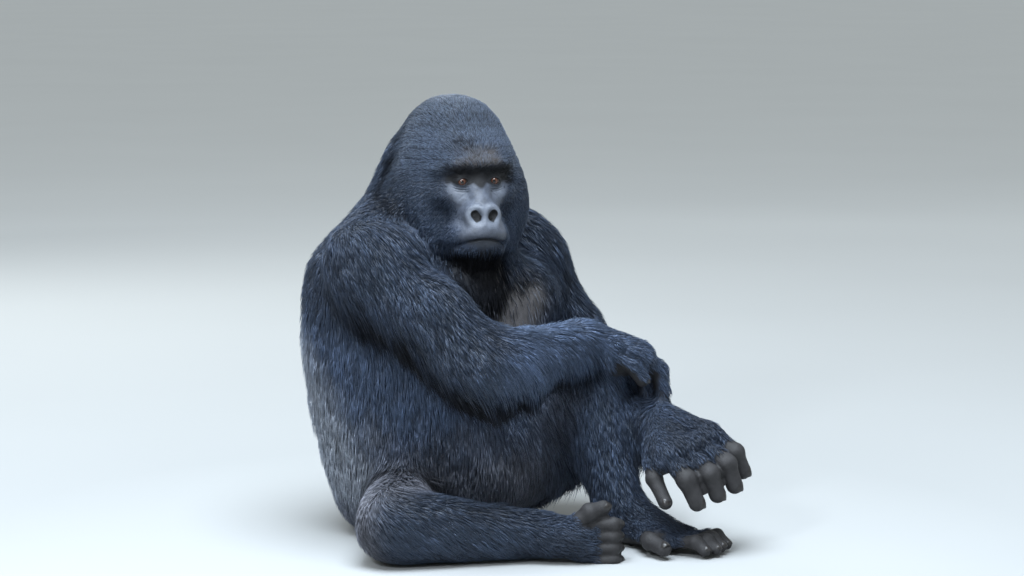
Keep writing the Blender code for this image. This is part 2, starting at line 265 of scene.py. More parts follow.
# Digits: root, bend, tip and radius of each, and the way its nail faces.
digits = []
leftBends = ((0.070, -0.634, 0.172), (0.118, -0.660, 0.180), (0.168, -0.668, 0.196), (0.218, -0.652, 0.212))
leftTips = ((0.084, -0.652, 0.122), (0.130, -0.672, 0.136), (0.178, -0.682, 0.150), (0.232, -0.664, 0.172))
for step in range(4):
    root = mix(fromSeat(0.078, -0.578, 0.215), fromSeat(0.212, -0.600, 0.236), step / 3)
    bend, tip = fromSeat(*leftBends[step]), fromSeat(*leftTips[step])
    digits.append(("hand_left", root, bend, tip, 0.0215, (0, -0.9, 0.4)))
    root = fromSeat(0.160 + 0.002 * step, -0.443 + 0.039 * step, 0.408 - 0.004 * step)
    bend = root + np.array([0.052, -0.006 + 0.003 * step, -0.034])
    tip = bend + np.array([0.010, -0.004, -0.056])
    digits.append(("hand_right", root, bend, tip, 0.0185, (0.95, 0, 0.3)))
    root = fromSeat(0.094 + 0.0265 * step, -0.585, 0.028)
    bend = root + np.array([0.003 * step, -0.064 + 0.008 * abs(step - 1), 0.006])
    tip = bend + np.array([0.002, -0.024, -0.016])
    digits.append(("foot_left", root, bend, tip, 0.0145, (0, -0.5, 0.85)))
    root = fromSeat(-0.096, -0.498, 0.082 - 0.0255 * step)
    bend = root + np.array([0.038, -0.040, 0.001])
    tip = bend + np.array([0.024, 0.006, -0.004])
    digits.append(("foot_right", root, bend, tip, 0.0145, (-0.2, -0.95, 0.1)))
thumbs = {
    "hand_left": ((0.096, -0.515, 0.215), (0.060, -0.556, 0.166), (0.052, -0.592, 0.120)),
    "hand_right": ((0.080, -0.402, 0.430), (0.122, -0.444, 0.395), (0.146, -0.456, 0.360)),
    "foot_left": ((0.080, -0.515, 0.034), (0.044, -0.560, 0.032), (0.032, -0.604, 0.024)),
    "foot_right": ((-0.124, -0.480, 0.082), (-0.102, -0.508, 0.112), (-0.070, -0.520, 0.118)),
}
# radius of each thumb or great toe, and the way its nail faces
thumbLooks = {
    "hand_left": (0.018, (-0.8, -0.5, 0.3)),
    "hand_right": (0.0175, (0.3, -0.9, 0.3)),
    "foot_left": (0.019, (-0.3, -0.3, 0.9)),
    "foot_right": (0.0185, (-0.5, -0.8, 0.2)),
}
for name, knuckles in thumbs.items():
    digits.append((name, *(fromSeat(*knuckle) for knuckle in knuckles), *thumbLooks[name]))
# the way the back of each hand and foot faces
backOf = {
    "hand_left": (0.0, -0.2, 0.97),
    "hand_right": (0.3, -0.2, 0.93),
    "foot_left": (0.0, -0.2, 0.97),
    "foot_right": (-0.75, -0.6, 0.25),
}

# The shape of the head under its coat, as a distance from a smooth union of simple forms, in the head's axes.


def blend(a, b, width):
    share = np.clip(0.5 + 0.5 * (b - a) / width, 0, 1)
    return b + (a - b) * share - width * share * (1 - share)


def carve(a, b, width):
    return -blend(-a, b, width)


def oval(p, middle, radii):
    q = p - np.array(middle)
    outer = length(q / np.array(radii))
    inner = np.maximum(length(q / np.array(radii) ** 2), 1e-6)
    return outer * (outer - 1) / inner


def rod(p, start, end, startRadius, endRadius):
    away, along = segment(p, start, end)
    return away - mix(startRadius, endRadius, along)


def mirrored(p):
    return np.stack([np.abs(p[:, 0]), p[:, 1], p[:, 2]], axis=1)


def mouthLine(side):
    # height of the closed lips, which turn down at the corners
    return -0.1160 - 0.017 * np.abs(side / 0.056) ** 1.8


lids = {"thick": 0.0026, "halfWidth": 0.0131, "opening": 0.0073}


def ridge(p, halfWidth, back, reach, height, drop, girth):
    # a rounded ridge round the front of the face, lower and slimmer towards its ends
    across, ahead = p[:, 0] / halfWidth, np.maximum(p[:, 1] - back, 0) / reach
    rho = np.maximum(np.hypot(across, ahead), 1e-4)
    planar = (rho - 1) * rho / np.hypot(across / halfWidth, ahead / reach)
    aside = (across / rho) ** 2
    behind = np.maximum(back - p[:, 1], 0)
    away = np.sqrt(planar ** 2 + (p[:, 2] - height + drop * aside) ** 2 + behind ** 2)
    return away - girth * (1 - 0.45 * aside)


def rolledRim(p, middle, radii, lean, girth):
    # a rolled rim round a hole that faces forward
    q = p - np.array(middle)
    across, rise = q[:, 0] / radii[0], q[:, 2] / radii[1]
    rho = np.maximum(np.hypot(across, rise), 1e-4)
    planar = (rho - 1) * rho / np.maximum(np.hypot(across / radii[0], rise / radii[1]), 1e-4)
    return np.hypot(planar, q[:, 1] - lean[0] * q[:, 0] - lean[1] * q[:, 2]) - girth


def around(p, middle, reach):
    # rows of p that are near enough to a feature to be shaped by it
    return np.nonzero(length(p - np.array(middle)) < reach)[0]


# forms of the head, joined one after the other: middle, radii and how softly each one joins the rest
skullForms = {
    "crest": ((0, -0.030, 0.085), (0.109, 0.117, 0.095), 0.03),
    "forehead": ((0, 0.047, 0.051), (0.098, 0.113, 0.070), 0.03),
    "jaw": ((0, 0.040, -0.136), (0.110, 0.100, 0.056), 0.03),
    "cheeks": ((0.072, 0.010, -0.058), (0.084, 0.104, 0.106), 0.045),
    "chin": ((0, 0.112, -0.166), (0.054, 0.060, 0.058), 0.03),
    "muzzle": ((0, 0.120, -0.104), (0.066, 0.090, 0.054), 0.026),
}
faceForms = {
    "between the eyes": ((0, 0.116, -0.002), (0.074, 0.044, 0.036), 0.020),
    "middle": ((0, 0.124, -0.046), (0.058, 0.058, 0.050), 0.020),
    "cheekbones": ((0.052, 0.112, -0.026), (0.040, 0.042, 0.024), 0.024),
}
bulkForms = {
    "nose": ((0.020, 0.180, -0.060), (0.029, 0.028, 0.034), 0.01),
    "eyes": ((0.036, 0.140, 0.004), (0.030, 0.026, 0.026), 0.02),
    "mouth": ((0, 0.135, -0.120), (0.070, 0.080, 0.050), 0.02),
}


def joinForms(d, m, forms):
    for middle, radii, soft in forms.values():
        d = blend(d, oval(m, middle, radii), soft)
    return d


def headShape(p, fine=True):
    # the two halves of the head are alike, so m is folded onto the left one
    m = mirrored(p)
    d = joinForms(oval(m, (0, -0.030, 0.020), (0.134, 0.147, 0.117)), m, skullForms)
    rows = around(m, (0, 0.13, -0.03), 0.17)
    d[rows] = shapeFace(m[rows], d[rows])
    if not fine:
        d = blend(d, rod(m, (0, 0.130, 0.010), (0, 0.174, -0.055), 0.034, 0.036), 0.02)
        return joinForms(d, m, bulkForms)
    for shape, middle, reach in (
        (shapeEyes, (0.036, 0.165, -0.020), 0.098),
        (shapeNose, (0, 0.175, -0.030), 0.100),
        (shapeMouth, (0, 0.15, -0.125), 0.120),
    ):
        rows = around(m, middle, reach)
        d[rows] = shape(m[rows], d[rows])
    return d


def shapeFace(m, d):
    # the middle of the face, the cheekbones, and the brow ridge that dips between the eyes
    d = joinForms(d, m, faceForms)
    girth = (0.0172 - 0.0040 * hump(m[:, 0], 0.012)) * (1 - 0.4 * step01(0.050, 0.085, m[:, 0]))
    return blend(d, ridge(m, 0.091, 0.058, 0.106, 0.0400, 0.014, girth), 0.020)


# from, to and how deep
faceCreases = (
    ((0.020, 0.158, -0.012), (0.047, 0.136, -0.036), 0.0011),
    ((0.014, 0.170, -0.022), (0.036, 0.152, -0.052), 0.0010),
    ((0.036, 0.176, -0.052), (0.042, 0.170, -0.086), 0.0013),
    ((0.042, 0.172, -0.078), (0.058, 0.148, -0.112), 0.0010),
    ((0.006, 0.186, -0.010), (0.011, 0.182, -0.026), 0.0007),
)


def shapeEyes(m, d):
    # a pocket under the brow, and in it the lids: a shell over the eyeball, opened by an almond
    d = carve(d, oval(m, (0.0375, 0.186, 0.001), (0.023, 0.018, 0.0150)), 0.012)
    e = m - np.array([eye["spread"], eye["depth"], eye["height"]])
    away = length(e)
    d = blend(d, away - (eye["radius"] + lids["thick"]), 0.009)
    # the folds above and below the lids
    for drop, deep in ((0.0125, 0.0010), (0.0175, 0.0012), (0.0225, 0.0008), (-0.0100, 0.0010)):
        line = e[:, 2] + drop - 11 * np.sign(drop) * e[:, 0] ** 2
        fade = step01(0.024, 0.010, np.abs(e[:, 0] - 0.001))
        d = d + deep * fade * hump(line, 0.0015)
    for start, end, deep in faceCreases:
        gap, along = segment(m * [1, 0, 1], np.array(start) * [1, 0, 1], np.array(end) * [1, 0, 1])
        d = d + deep * np.sin(np.pi * np.clip(along, 0.02, 0.98)) * hump(gap, 0.0017)
    across = (e[:, 0] + 0.0005) / lids["halfWidth"]
    rise = 0.0006 - 0.0014 * across
    gap = np.abs(e[:, 2] - rise) - lids["opening"] * (1 - np.clip(np.abs(across), 0, 1.4) ** 2.2)
    hole = np.maximum(np.maximum(gap, (eye["radius"] - 0.0022) - away), -e[:, 1])
    return carve(d, hole, 0.0012)


# the rolled rim of the nostrils: middle, and radii across and upward
nostrilRim = ((0.0170, 0.1985, -0.0685), (0.0165, 0.0200))


def shapeNose(m, d):
    # bridge, pad and broad rolled wings, with nostrils that slant from beside the septum up and outward
    wide = m * np.array([0.62, 1.0, 1.0])
    d = blend(d, rod(wide, (0, 0.148, 0.030), (0, 0.165, -0.008), 0.012, 0.0110), 0.014)
    d = blend(d, rod(wide, (0, 0.165, -0.008), (0, 0.189, -0.047), 0.0110, 0.0130), 0.012)
    d = blend(d, oval(m, (0.016, 0.176, -0.067), (0.026, 0.026, 0.027)), 0.012)
    d = blend(d, rolledRim(m, *nostrilRim, (-0.34, -0.05), 0.0077), 0.0045)
    d = blend(d, rod(m, (0, 0.200, -0.052), (0, 0.205, -0.087), 0.0072, 0.0046), 0.005)
    d = carve(d, rod(m, (0.0100, 0.222, -0.0790), (0.0225, 0.214, -0.0620), 0.0056, 0.0066), 0.004)
    d = carve(d, rod(m, (0.0102, 0.202, -0.0780), (0.0215, 0.198, -0.0630), 0.0055, 0.0064), 0.003)
    return carve(d, rod(m, (0.0108, 0.190, -0.0770), (0.0205, 0.186, -0.0640), 0.0062, 0.0070), 0.003)


def shapeMouth(m, d):
    # a long upper lip, a fuller lower one, and the crease between them
    d = blend(d, oval(m, (0, 0.112, -0.138), (0.064, 0.080, 0.044)), 0.018)
    d = blend(d, ridge(m, 0.064, 0.104, 0.097, -0.100, 0.020, 0.0160), 0.020)
    d = blend(d, ridge(m, 0.054, 0.104, 0.084, -0.131, 0.018, 0.0110), 0.014)
    crease = np.abs(m[:, 2] - mouthLine(m[:, 0])) + 0.5 * np.maximum(0.130 - m[:, 1], 0)
    crease = crease + 0.4 * np.maximum(m[:, 0] - 0.052, 0)
    return d + 0.0052 * hump(crease, 0.0025) + 0.0022 * hump(crease, 0.008)


rayStart = np.array([0.0, 0.045, -0.045])
raySteps = 22
longestRayStep = 0.02


def ontoHead(h):
    # slides points along rays from inside the head, onto its bulk without the finer features
    rays = h - rayStart
    reach = length(rays)
    rays = rays / reach[:, None]
    for _ in range(raySteps):
        gap = headShape(rayStart + rays * reach[:, None], fine=False)
        reach = reach - np.clip(gap, -longestRayStep, longestRayStep) * 0.8
    return rayStart + rays * reach[:, None]


# longest step of a round, last rounds without evening out, and how strongly it evens out
settling = {"head": (0.006, 2, 0.45), "digits": (0.004, 1, 0.4)}
probe = 0.0004


def settle(p, shapeOf, edges, share, free, rounds, part):
    # draws the vertices onto a shape, and evens the free ones out along it as they go
    longest, plain, ease = settling[part]
    for turn in range(rounds):
        d = shapeOf(p)
        slope = np.stack([(shapeOf(p + offset) - d) / probe for offset in np.eye(3) * probe], axis=1)
        size = np.maximum(np.sum(slope * slope, axis=1), 0.2)
        p = p - slope * (np.clip(d, -longest, longest) * share / size)[:, None]
        if turn < rounds - plain:
            pull = spread(p, edges, 1, 1.0) - p
            outward = unit(slope)
            pull -= outward * np.sum(pull * outward, axis=1, keepdims=True)
            p = p + pull * (ease * share * free)[:, None]
    return p


def amongChosen(chosen, edges):
    # the edges between chosen vertices, renumbered, and which of those vertices are free to move along
    index = np.cumsum(chosen) - 1
    inner = chosen[edges[:, 0]] & chosen[edges[:, 1]]
    free = np.ones(len(chosen))
    free[edges[~inner].ravel()] = 0
    return index[edges[inner]], free[chosen]


# Skin: one closed surface in place of all the flesh nodes.

skinSizes = {"voxel": 0.0088, "grow": 0.0012, "smoothRounds": 9, "floorGap": 0.0012, "triangles": 188000}
# balls that fill the eye sockets and nostrils before the skin is made: depth, height, to each side, radius
headFillers = ((0.152, 0.004, 0.036, 0.030), (0.196, -0.067, 0.014, 0.026))
fleshNames = [name for name in nodes if not name.startswith(("eye", "ear"))]


def joinFlesh():
    copies, trees = [], []
    for name in fleshNames:
        copy = nodes[name].copy()
        copy.data = nodes[name].data.copy()
        copy.parent = None
        copy.modifiers.clear()
        bpy.context.scene.collection.objects.link(copy)
        work = bmesh.new()
        work.from_mesh(copy.data)
        bmesh.ops.remove_doubles(work, verts=work.verts, dist=0.00005)
        trees.append(BVHTree.FromBMesh(work))
        work.normal_update()
        for vert in work.verts:
            vert.co += vert.normal * skinSizes["grow"]
        work.to_mesh(copy.data)
        work.free()
        copies.append(copy)
    for depth, height, apart, radius in headFillers:
        for side in (-apart, apart):
            middle = fromHead([side, depth, height])[0]
            bpy.ops.mesh.primitive_uv_sphere_add(segments=24, ring_count=12, radius=radius, location=middle)
            copies.append(bpy.context.active_object)
    pick(*copies)
    bpy.ops.object.transform_apply(location=True, rotation=True, scale=True)
    bpy.ops.object.join()
    joined = bpy.context.active_object
    joined.name = joined.data.name = "skin"
    remesh = joined.modifiers.new("Remesh", "REMESH")
    remesh.mode = "VOXEL"
    remesh.voxel_size = skinSizes["voxel"]
    applyAll(joined)
    joined.data.materials.clear()
    return joined, trees


skin, fleshTrees = joinFlesh()
points = coords(skin.data)
edges = edgesOf(skin.data)
report("skin: %d faces" % len(skin.data.polygons))


# how far a part is looked for, how far its box is widened for that, and rounds of fading
regionSizes = {"search": 0.03, "margin": 0.02, "fadeRounds": 26}
# a distance beyond any that is measured here
farAway = 9.0


def regionShares(points, edges):
    # how much each vertex belongs to each part of the body, fading over a few centimetres at the joints
    gaps = np.empty((len(points), len(fleshTrees)))
    for column, tree in enumerate(fleshTrees):
        find = tree.find_nearest
        low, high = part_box(fleshNames[column])
        low, high = np.array(low) - regionSizes["margin"], np.array(high) + regionSizes["margin"]
        inside = np.all((points > low) & (points < high), axis=1)
        gaps[:, column] = farAway
        got = [find(point, regionSizes["search"])[3] for point in points[inside].tolist()]
        gaps[inside, column] = [farAway if gap is None else gap for gap in got]
    shares = np.zeros_like(gaps)
    shares[np.arange(len(points)), np.argmin(gaps, axis=1)] = 1.0
    return spread(shares, edges, regionSizes["fadeRounds"])


shares = regionShares(points, edges)
report("regions found")


def shareOf(shares, name):
    return shares[:, fleshNames.index(name)]


def partsOf(shares):
    return {name: shareOf(shares, name) for name in fleshNames}


def armsOf(part):
    return sum(part[name] for name in fleshNames if "arm" in name)


# The coat of each region: how deep it stands, how long its tufts are, half their width, and how closely
# they are set against the other regions.
coatOf = {
    "head": (0.008, 0.026, 0.0007, 720),
    "neck": (0.010, 0.036, 0.0010, 380),
    "trunk": (0.013, 0.042, 0.0011, 290),
    "upper_arm": (0.015, 0.058, 0.0010, 380),
    "forearm": (0.016, 0.058, 0.0010, 420),
    "hand": (0.008, 0.028, 0.0010, 420),
    "thigh": (0.011, 0.036, 0.0012, 260),
    "shin": (0.011, 0.044, 0.0012, 280),
    "foot": (0.006, 0.018, 0.0010, 300),
}


def regionOf(name):
    return name.replace("_left", "").replace("_right", "")


def coatValue(shares, column):
    table = np.array([coatOf[regionOf(name)][column] for name in fleshNames])
    return shares @ table


def faceBareness(h):
    # 1 on the bare skin of the face, in the head's axes, 0 under the coat
    halfWidth = 0.066 - 0.019 * hump(h[:, 2] + 0.060, 0.028) - 0.010 * step01(-0.08, -0.10, h[:, 2])
    sideways = step01(1.22, 0.80, np.abs(h[:, 0]) / halfWidth)
    top = step01(0.030, 0.014, h[:, 2])
    chin = -0.139 + 0.35 * np.abs(h[:, 0])
    bottom = step01(chin - 0.012, chin + 0.010, h[:, 2])
    return sideways * top * bottom * step01(0.070, 0.105, h[:, 1])


# how far along a digit its hair reaches, where 1 is the bend
bareFrom = {"hand_left": 0.62, "hand_right": 1.65, "foot_left": 0.30, "foot_right": 0.15}


def digitBareness(points, normals, shares):
    # 1 on fingers, toes, palms and soles
    bare = np.zeros(len(points))
    for name, root, bend, tip, radius, _ in digits:
        reach, along = segment(points, root, bend)
        further, past = segment(points, bend, tip)
        starts = bareFrom[name]
        upper = step01(starts, starts + 0.4, along) * (reach < radius * 1.7) * (starts < 0.9)
        lower = (further < radius * 1.7) * step01(starts - 1.1, starts - 0.7, past)
        bare = np.maximum(bare, np.maximum(upper, lower) * shareOf(shares, name))
    for name, back in backOf.items():
        facing = normals @ unit(np.array(back))
        bare = np.maximum(bare, step01(-0.15, -0.55, facing) * step01(0.55, 0.85, shareOf(shares, name)))
    return bare


def chestBareness(points):
    # the sparse patch on the breast
    away = (points - fromSeat(0.015, -0.215, 0.525)) / np.array([0.125, 0.13, 0.095])
    return step01(1.2, 0.6, length(away))


def shrinkUnderCoat():
    setCoords(skin.data, spread(points, edges, skinSizes["smoothRounds"], 0.5 * (1 - 0.8 * handShare)))
    normals = spread(vertexNormals(skin.data), edges, 4)
    now = coords(skin.data)
    bare = digitBareness(now, normals, shares)
    bare = np.maximum(bare, step01(0.02, 0.07, toHead(now)[:, 1]) * shareOf(shares, "head"))
    depth = spread(coatValue(shares, 0) * (1 - bare), edges, 4)
    under = now - unit(normals) * depth[:, None]
    under[:, 2] = np.maximum(under[:, 2], skinSizes["floorGap"])
    setCoords(skin.data, under)


handShare = sum(shareOf(shares, name) for name in fleshNames if name.startswith(("hand", "foot")))
shrinkUnderCoat()


def refine(mask):
    # cuts in half every edge whose two ends are within the mask
    work = bmesh.new()
    work.from_mesh(skin.data)
    inside = mask(coords(skin.data))
    chosen = [edge for edge in work.edges if inside[edge.verts[0].index] and inside[edge.verts[1].index]]
    bmesh.ops.subdivide_edges(work, edges=chosen, cuts=1, use_grid_fill=True, smooth=0.0)
    work.to_mesh(skin.data)
    work.free()


def nearDigits(points):
    near = np.zeros(len(points), dtype=bool)
    for _, root, bend, tip, radius, _ in digits:
        for start, end in ((root, bend), (bend, tip)):
            near |= segment(points, start, end)[0] < radius * 1.9
    return near


def inFront(points):
    h = toHead(points)
    return (h[:, 1] > 0.070) & (np.abs(h[:, 0]) < 0.095) & (h[:, 2] > -0.185) & (h[:, 2] < 0.070)


def onFeatures(points):
    h = toHead(points)
    eyes = (np.abs(np.abs(h[:, 0]) - eye["spread"]) < 0.022) & (np.abs(h[:, 2] - 0.002) < 0.022)
    nose = (np.abs(h[:, 0]) < 0.050) & (np.abs(h[:, 2] + 0.066) < 0.037)
    mouth = (np.abs(h[:, 0]) < 0.066) & (np.abs(h[:, 2] - mouthLine(h[:, 0])) < 0.011)
    return (h[:, 1] > 0.12) & (eyes | nose | mouth)


def shapeHead(rounds, first=False, onlyFeatures=False):
    now = coords(skin.data)
    h = toHead(now)
    towardFace = step01(-0.010, 0.060, h[:, 1]) * step01(-0.245, -0.205, h[:, 2])
    towardFace *= step01(0.135, 0.055, h[:, 2])
    towardFace *= step01(0.25, 0.6, shareOf(interpolated(now), "head"))
    chosen = towardFace > 0
    if onlyFeatures:
        chosen &= onFeatures(now)
    if first:
        h[chosen] = mix(h[chosen], ontoHead(h[chosen]), towardFace[chosen, None])
    inner, free = amongChosen(chosen, edgesOf(skin.data))
    h[chosen] = settle(h[chosen], headShape, inner, towardFace[chosen], free, rounds, "head")
    setCoords(skin.data, fromHead(h))


coarseTree = treeOf(coords(skin.data))
coarseShares = shares


def interpolated(points):
    # shares of the regions at any point, from the three nearest vertices of the coarse skin
    index = np.empty((len(points), 3), dtype=np.int64)
    near = np.empty((len(points), 3))
    find = coarseTree.find_n
    for row, point in enumerate(points.tolist()):
        for column, (_, vertex, gap) in enumerate(find(point, 3)):
            index[row, column], near[row, column] = vertex, gap
    weight = 1 / (near + 0.001)
    weight /= weight.sum(axis=1, keepdims=True)
    return np.einsum("ij,ijk->ik", weight, coarseShares[index])


refine(nearDigits)
refine(inFront)
shapeHead(10, first=True)
refine(inFront)
shapeHead(8)
report("head shaped: %d vertices" % len(skin.data.vertices))
refine(onFeatures)
shapeHead(10, onlyFeatures=True)
report("features shaped: %d vertices" % len(skin.data.vertices))


def digitShape(points, name):
    # distance from the fingers or toes of one hand or foot, a little slimmer between the knuckles
    d = np.full(len(points), farAway)
    for owner, root, bend, tip, radius, _ in digits:
        if owner == name:
            upper, along = segment(points, root, bend)
            lower, further = segment(points, bend, tip)
            waist = 1 - 0.08 * np.sin(np.pi * along) + 0.05 * step01(0.75, 0.98, along)
            taper = mix(1.02, 0.86, further) - 0.06 * np.sin(np.pi * further)
            one = blend(upper - radius * 1.02 * waist, lower - radius * taper, 0.004)
            d = blend(d, one, 0.003)
    return d


def shapeDigits(rounds):
    # draws the skin of the digits onto round fingers and toes, with a crease between neighbours
    now = coords(skin.data)
    allShares = interpolated(now)
    edges = edgesOf(skin.data)
    for name in backOf:
        beyond = np.zeros(len(now))
        for owner, root, bend, tip, radius, _ in digits:
            if owner == name:
                upper, along = segment(now, root, bend)
                lower, _ = segment(now, bend, tip)
                own = np.maximum(step01(0.15, 0.60, along) * (upper < radius * 1.8), lower < radius * 1.8)
                beyond = np.maximum(beyond, own)
        weight = beyond * step01(0.3, 0.7, shareOf(allShares, name))
        chosen = weight > 0.01
        inner, free = amongChosen(chosen, edges)

        def shapeOf(p, name=name):
            return digitShape(p, name)

        now[chosen] = settle(now[chosen], shapeOf, inner, weight[chosen], free, rounds, "digits")
    now[:, 2] = np.maximum(now[:, 2], skinSizes["floorGap"])
    setCoords(skin.data, now)


shapeDigits(7)

# how far from the inside of the head the skin still counts as face, and where that begins to fade
faceReach = (0.25, 0.22)


def evenOut(rounds):
    # the skin under the coat is smoothed over the joints, and the bare face and the digits keep their shape
    now = coords(skin.data)
    h = toHead(now)
    face = step01(0.035, 0.075, h[:, 1]) * step01(*faceReach, length(h - rayStart))
    keep = np.maximum(nearDigits(now), face)
    setCoords(skin.data, spread(now, edgesOf(skin.data), rounds, 0.6 * (1 - keep)))


evenOut(24)


def thinBody():
    # fewer, larger faces where the coat hides the skin
    now = coords(skin.data)
    h = toHead(now)
    onFace = (h[:, 1] > 0.03) & (length(h - rayStart) < faceReach[0])
    body = np.nonzero(~nearDigits(now) & ~onFace)[0]
    group = skin.vertex_groups.new(name="body")
    group.add(body.tolist(), 1.0, "REPLACE")
    faces = sum(len(face.vertices) - 2 for face in skin.data.polygons)
    thin = skin.modifiers.new("Decimate", "DECIMATE")
    thin.vertex_group = "body"
    thin.ratio = skinSizes["triangles"] / faces
    applyAll(skin)
    skin.vertex_groups.clear()


skin.modifiers.new("Triangulate", "TRIANGULATE")
applyAll(skin)
thinBody()
smoothed(skin)

points = coords(skin.data)
edges = edgesOf(skin.data)
triangles = trianglesOf(skin.data)
normals = unit(spread(vertexNormals(skin.data), edges, 2))
shares = interpolated(points)
headPoints = toHead(points)
seatPoints = points - seat
faceBare = faceBareness(headPoints) * step01(0.2, 0.6, shareOf(shares, "head"))
handBare = digitBareness(points, normals, shares)
chestBare = chestBareness(points) * shareOf(shares, "trunk")
report("skin: %d triangles" % len(triangles))

# The lie of the coat.


def axisOf(first, second):
    return unit(joints[second] - joints[first])


gravity = np.array([0.0, 0.0, -1.0])
# the way the coat of each part lies, how strongly it does, and how strongly it hangs
lieOf = {
    "upper_arm_right": (axisOf("shoulder_right", "elbow_right"), 1.0, 0.30),
    "upper_arm_left": (axisOf("shoulder_left", "elbow_left"), 1.0, 0.30),
    "forearm_right": (axisOf("elbow_right", "wrist_right"), 0.75, 0.85),
    "forearm_left": (-axisOf("elbow_left", "wrist_left"), 0.65, 0.75),
    "hand_right": (unit(np.array([0.9, -0.25, -0.3])), 1.0, 0.25),
    "hand_left": (unit(np.array([-0.15, -0.9, -0.3])), 1.0, 0.25),
    "thigh_right": (axisOf("hip_right", "knee_right"), 0.7, 0.8),
    "thigh_left": (axisOf("hip_left", "knee_left"), 0.7, 0.8),
    "shin_right": (axisOf("knee_right", "ankle_right"), 1.0, 0.5),
    "shin_left": (axisOf("knee_left", "ankle_left"), 1.0, 0.4),
    "foot_right": (unit(np.array([0.5, -0.85, 0.0])), 1.0, 0.1),
    "foot_left": (unit(np.array([0.0, -1.0, -0.1])), 1.0, 0.1),
}


def lieOfCoat():
    s, f, z = headPoints.T
    lie = np.zeros_like(points)
    for name, (axis, along, fall) in lieOf.items():
        lie += shareOf(shares, name)[:, None] * unit(axis * along + gravity * fall)
    # swept back from the face, and down behind the cheeks and the nape
    away = unit(np.stack([s * 1.1, np.minimum(f - 0.19, -0.02), z + 0.015], axis=1))
    fall = 0.75 * step01(0.05, -0.06, z) + 0.8 * step01(0.02, -0.12, f)
    swept = away[:, :1] * left + away[:, 1:2] * front + away[:, 2:] * up + fall[:, None] * gravity
    lie += shareOf(shares, "head")[:, None] * unit(swept)
    outward = unit(seatPoints - np.array([0.0, 0.02, 0.66]))
    lie += shareOf(shares, "neck")[:, None] * unit(gravity + 0.5 * outward)
    over = step01(0.44, 0.60, seatPoints[:, 2])
    lie += shareOf(shares, "trunk")[:, None] * unit(gravity + over[:, None] * outward * 1.2)
    for _ in range(3):
        lie = flatten(spread(lie, edges, 5), normals)
    return lie


lie = lieOfCoat()
report("lie of the coat found")
lockSizes = {"reach": 0.008, "rounds": 7, "seed": 4}


def lockPattern():
    # light and dark locks, drawn out along the lie of the coat
    way = unit(lie) * lockSizes["reach"]
    ahead, behind = nearest(skinTree, points + way), nearest(skinTree, points - way)
    value = np.random.default_rng(lockSizes["seed"]).normal(size=len(points))
    for _ in range(lockSizes["rounds"]):
        value = (value + value[ahead] + value[behind]) / 3
    return (value - value.mean()) / value.std()


skinTree = treeOf(points)
skinSurface = BVHTree.FromPolygons(points.tolist(), triangles.tolist())
locks = lockPattern()

# Markings, shared by the skin and its coat, with painted light and painted shade among them.

tones = {
    "black": (0.0215, 0.0310, 0.0530),
    "silver": (0.260, 0.280, 0.320),
    # crown: painted shade, darker than the rest of the coat to offset the light from above
    "crown": (0.0090, 0.0125, 0.0205),
    "brown": (0.044, 0.037, 0.035),
    # dark: the dull black of brow and beard, also used as painted shade in folds, under the chin and under
    # the arms
    "dark": (0.0030, 0.0034, 0.0055),
    # dome: grey of the thighs and low flank, its own colour made lighter still as painted fill light
    "dome": (0.150, 0.150, 0.172),
    "face": (0.062, 0.072, 0.096),
    # rim: painted highlight on the nostril rims and the cheeks
    "rim": (0.140, 0.156, 0.190),
    # lid: the dark skin of the lids, and painted shade under the brow
    "lid": (0.0045, 0.0047, 0.0065),
    "lip": (0.075, 0.084, 0.108),
    # near black for painted shade in the nostrils, between the lips and in the bowls of the ears
    "hollow": (0.003, 0.003, 0.004),
    "hand": (0.0230, 0.0220, 0.0235),
    # chest: the pale patch on the breast, its own colour made lighter still as painted fill light
    "chest": (0.105, 0.098, 0.100),
}


# scale in metres and seed of each noise
grains = {"patch": (0.045, 3), "ragged": (0.009, 8), "face": (0.006, 5), "hand": (0.010, 6)}


def tone(name):
    return np.array(tones[name])[None, :]


def saddleOf(part, y, z, patch):
    # the grey of back and flank, whose edge runs up and backward
    edge = -0.07 + 0.75 * (z - 0.18) + 0.03 * patch
    saddle = step01(-0.07, 0.07, y - edge) * step01(0.68, 0.44, z) * step01(0.05, 0.13, z)
    onThighs = 0.5 * (part["thigh_left"] + part["thigh_right"]) * step01(-0.05, 0.05, y)
    return np.clip(saddle * (part["trunk"] + onThighs), 0, 1)


def dullAndShadeOf(part, s, f, h, ragged, under):
    # the dull black of brow and beard, a dark patch high on one side of the head, and painted shade under the
    # chin on the neck and breast, in the folds between head and neck and between right thigh and trunk, and
    # on the undersides of the arms
    beard = step01(-0.128, -0.150, h) * step01(0.020, 0.070, f) * step01(0.095, 0.058, np.abs(s - 0.006))
    # painted shade under the chin and beard, on the front of the neck and the breast
    shadeUnderChin = part["neck"] + part["trunk"] * step01(-0.31, -0.24, h)
    shadeUnderChin = shadeUnderChin * step01(0.17, 0.09, np.abs(s)) * step01(0.0, 0.06, f)
    brow = step01(0.047, 0.031, h + ragged) * step01(-0.008, 0.002, h) * step01(0.06, 0.10, f)
    brow = brow * step01(0.096, 0.056, np.abs(s - 0.010) + ragged)
    tuft = 0.7 * blot(s + 0.026, 0.026, h - 0.082, 0.013) * step01(0.02, 0.06, f)
    dark = part["head"] * np.maximum(np.maximum(beard, brow), tuft) + 0.9 * shadeUnderChin
    # painted shade in the folds between head and neck and between the right thigh and the trunk
    fold = 0.75 * (4 * part["head"] * part["neck"]) ** 2 * step01(0.12, 0.05, h)
    fold = np.maximum(fold, 0.7 * (4 * part["thigh_right"] * part["trunk"]) ** 3)
    # painted shade on the undersides of the arms
    return np.clip(np.maximum(np.maximum(dark, fold), 0.95 * armsOf(part) * under), 0, 1)


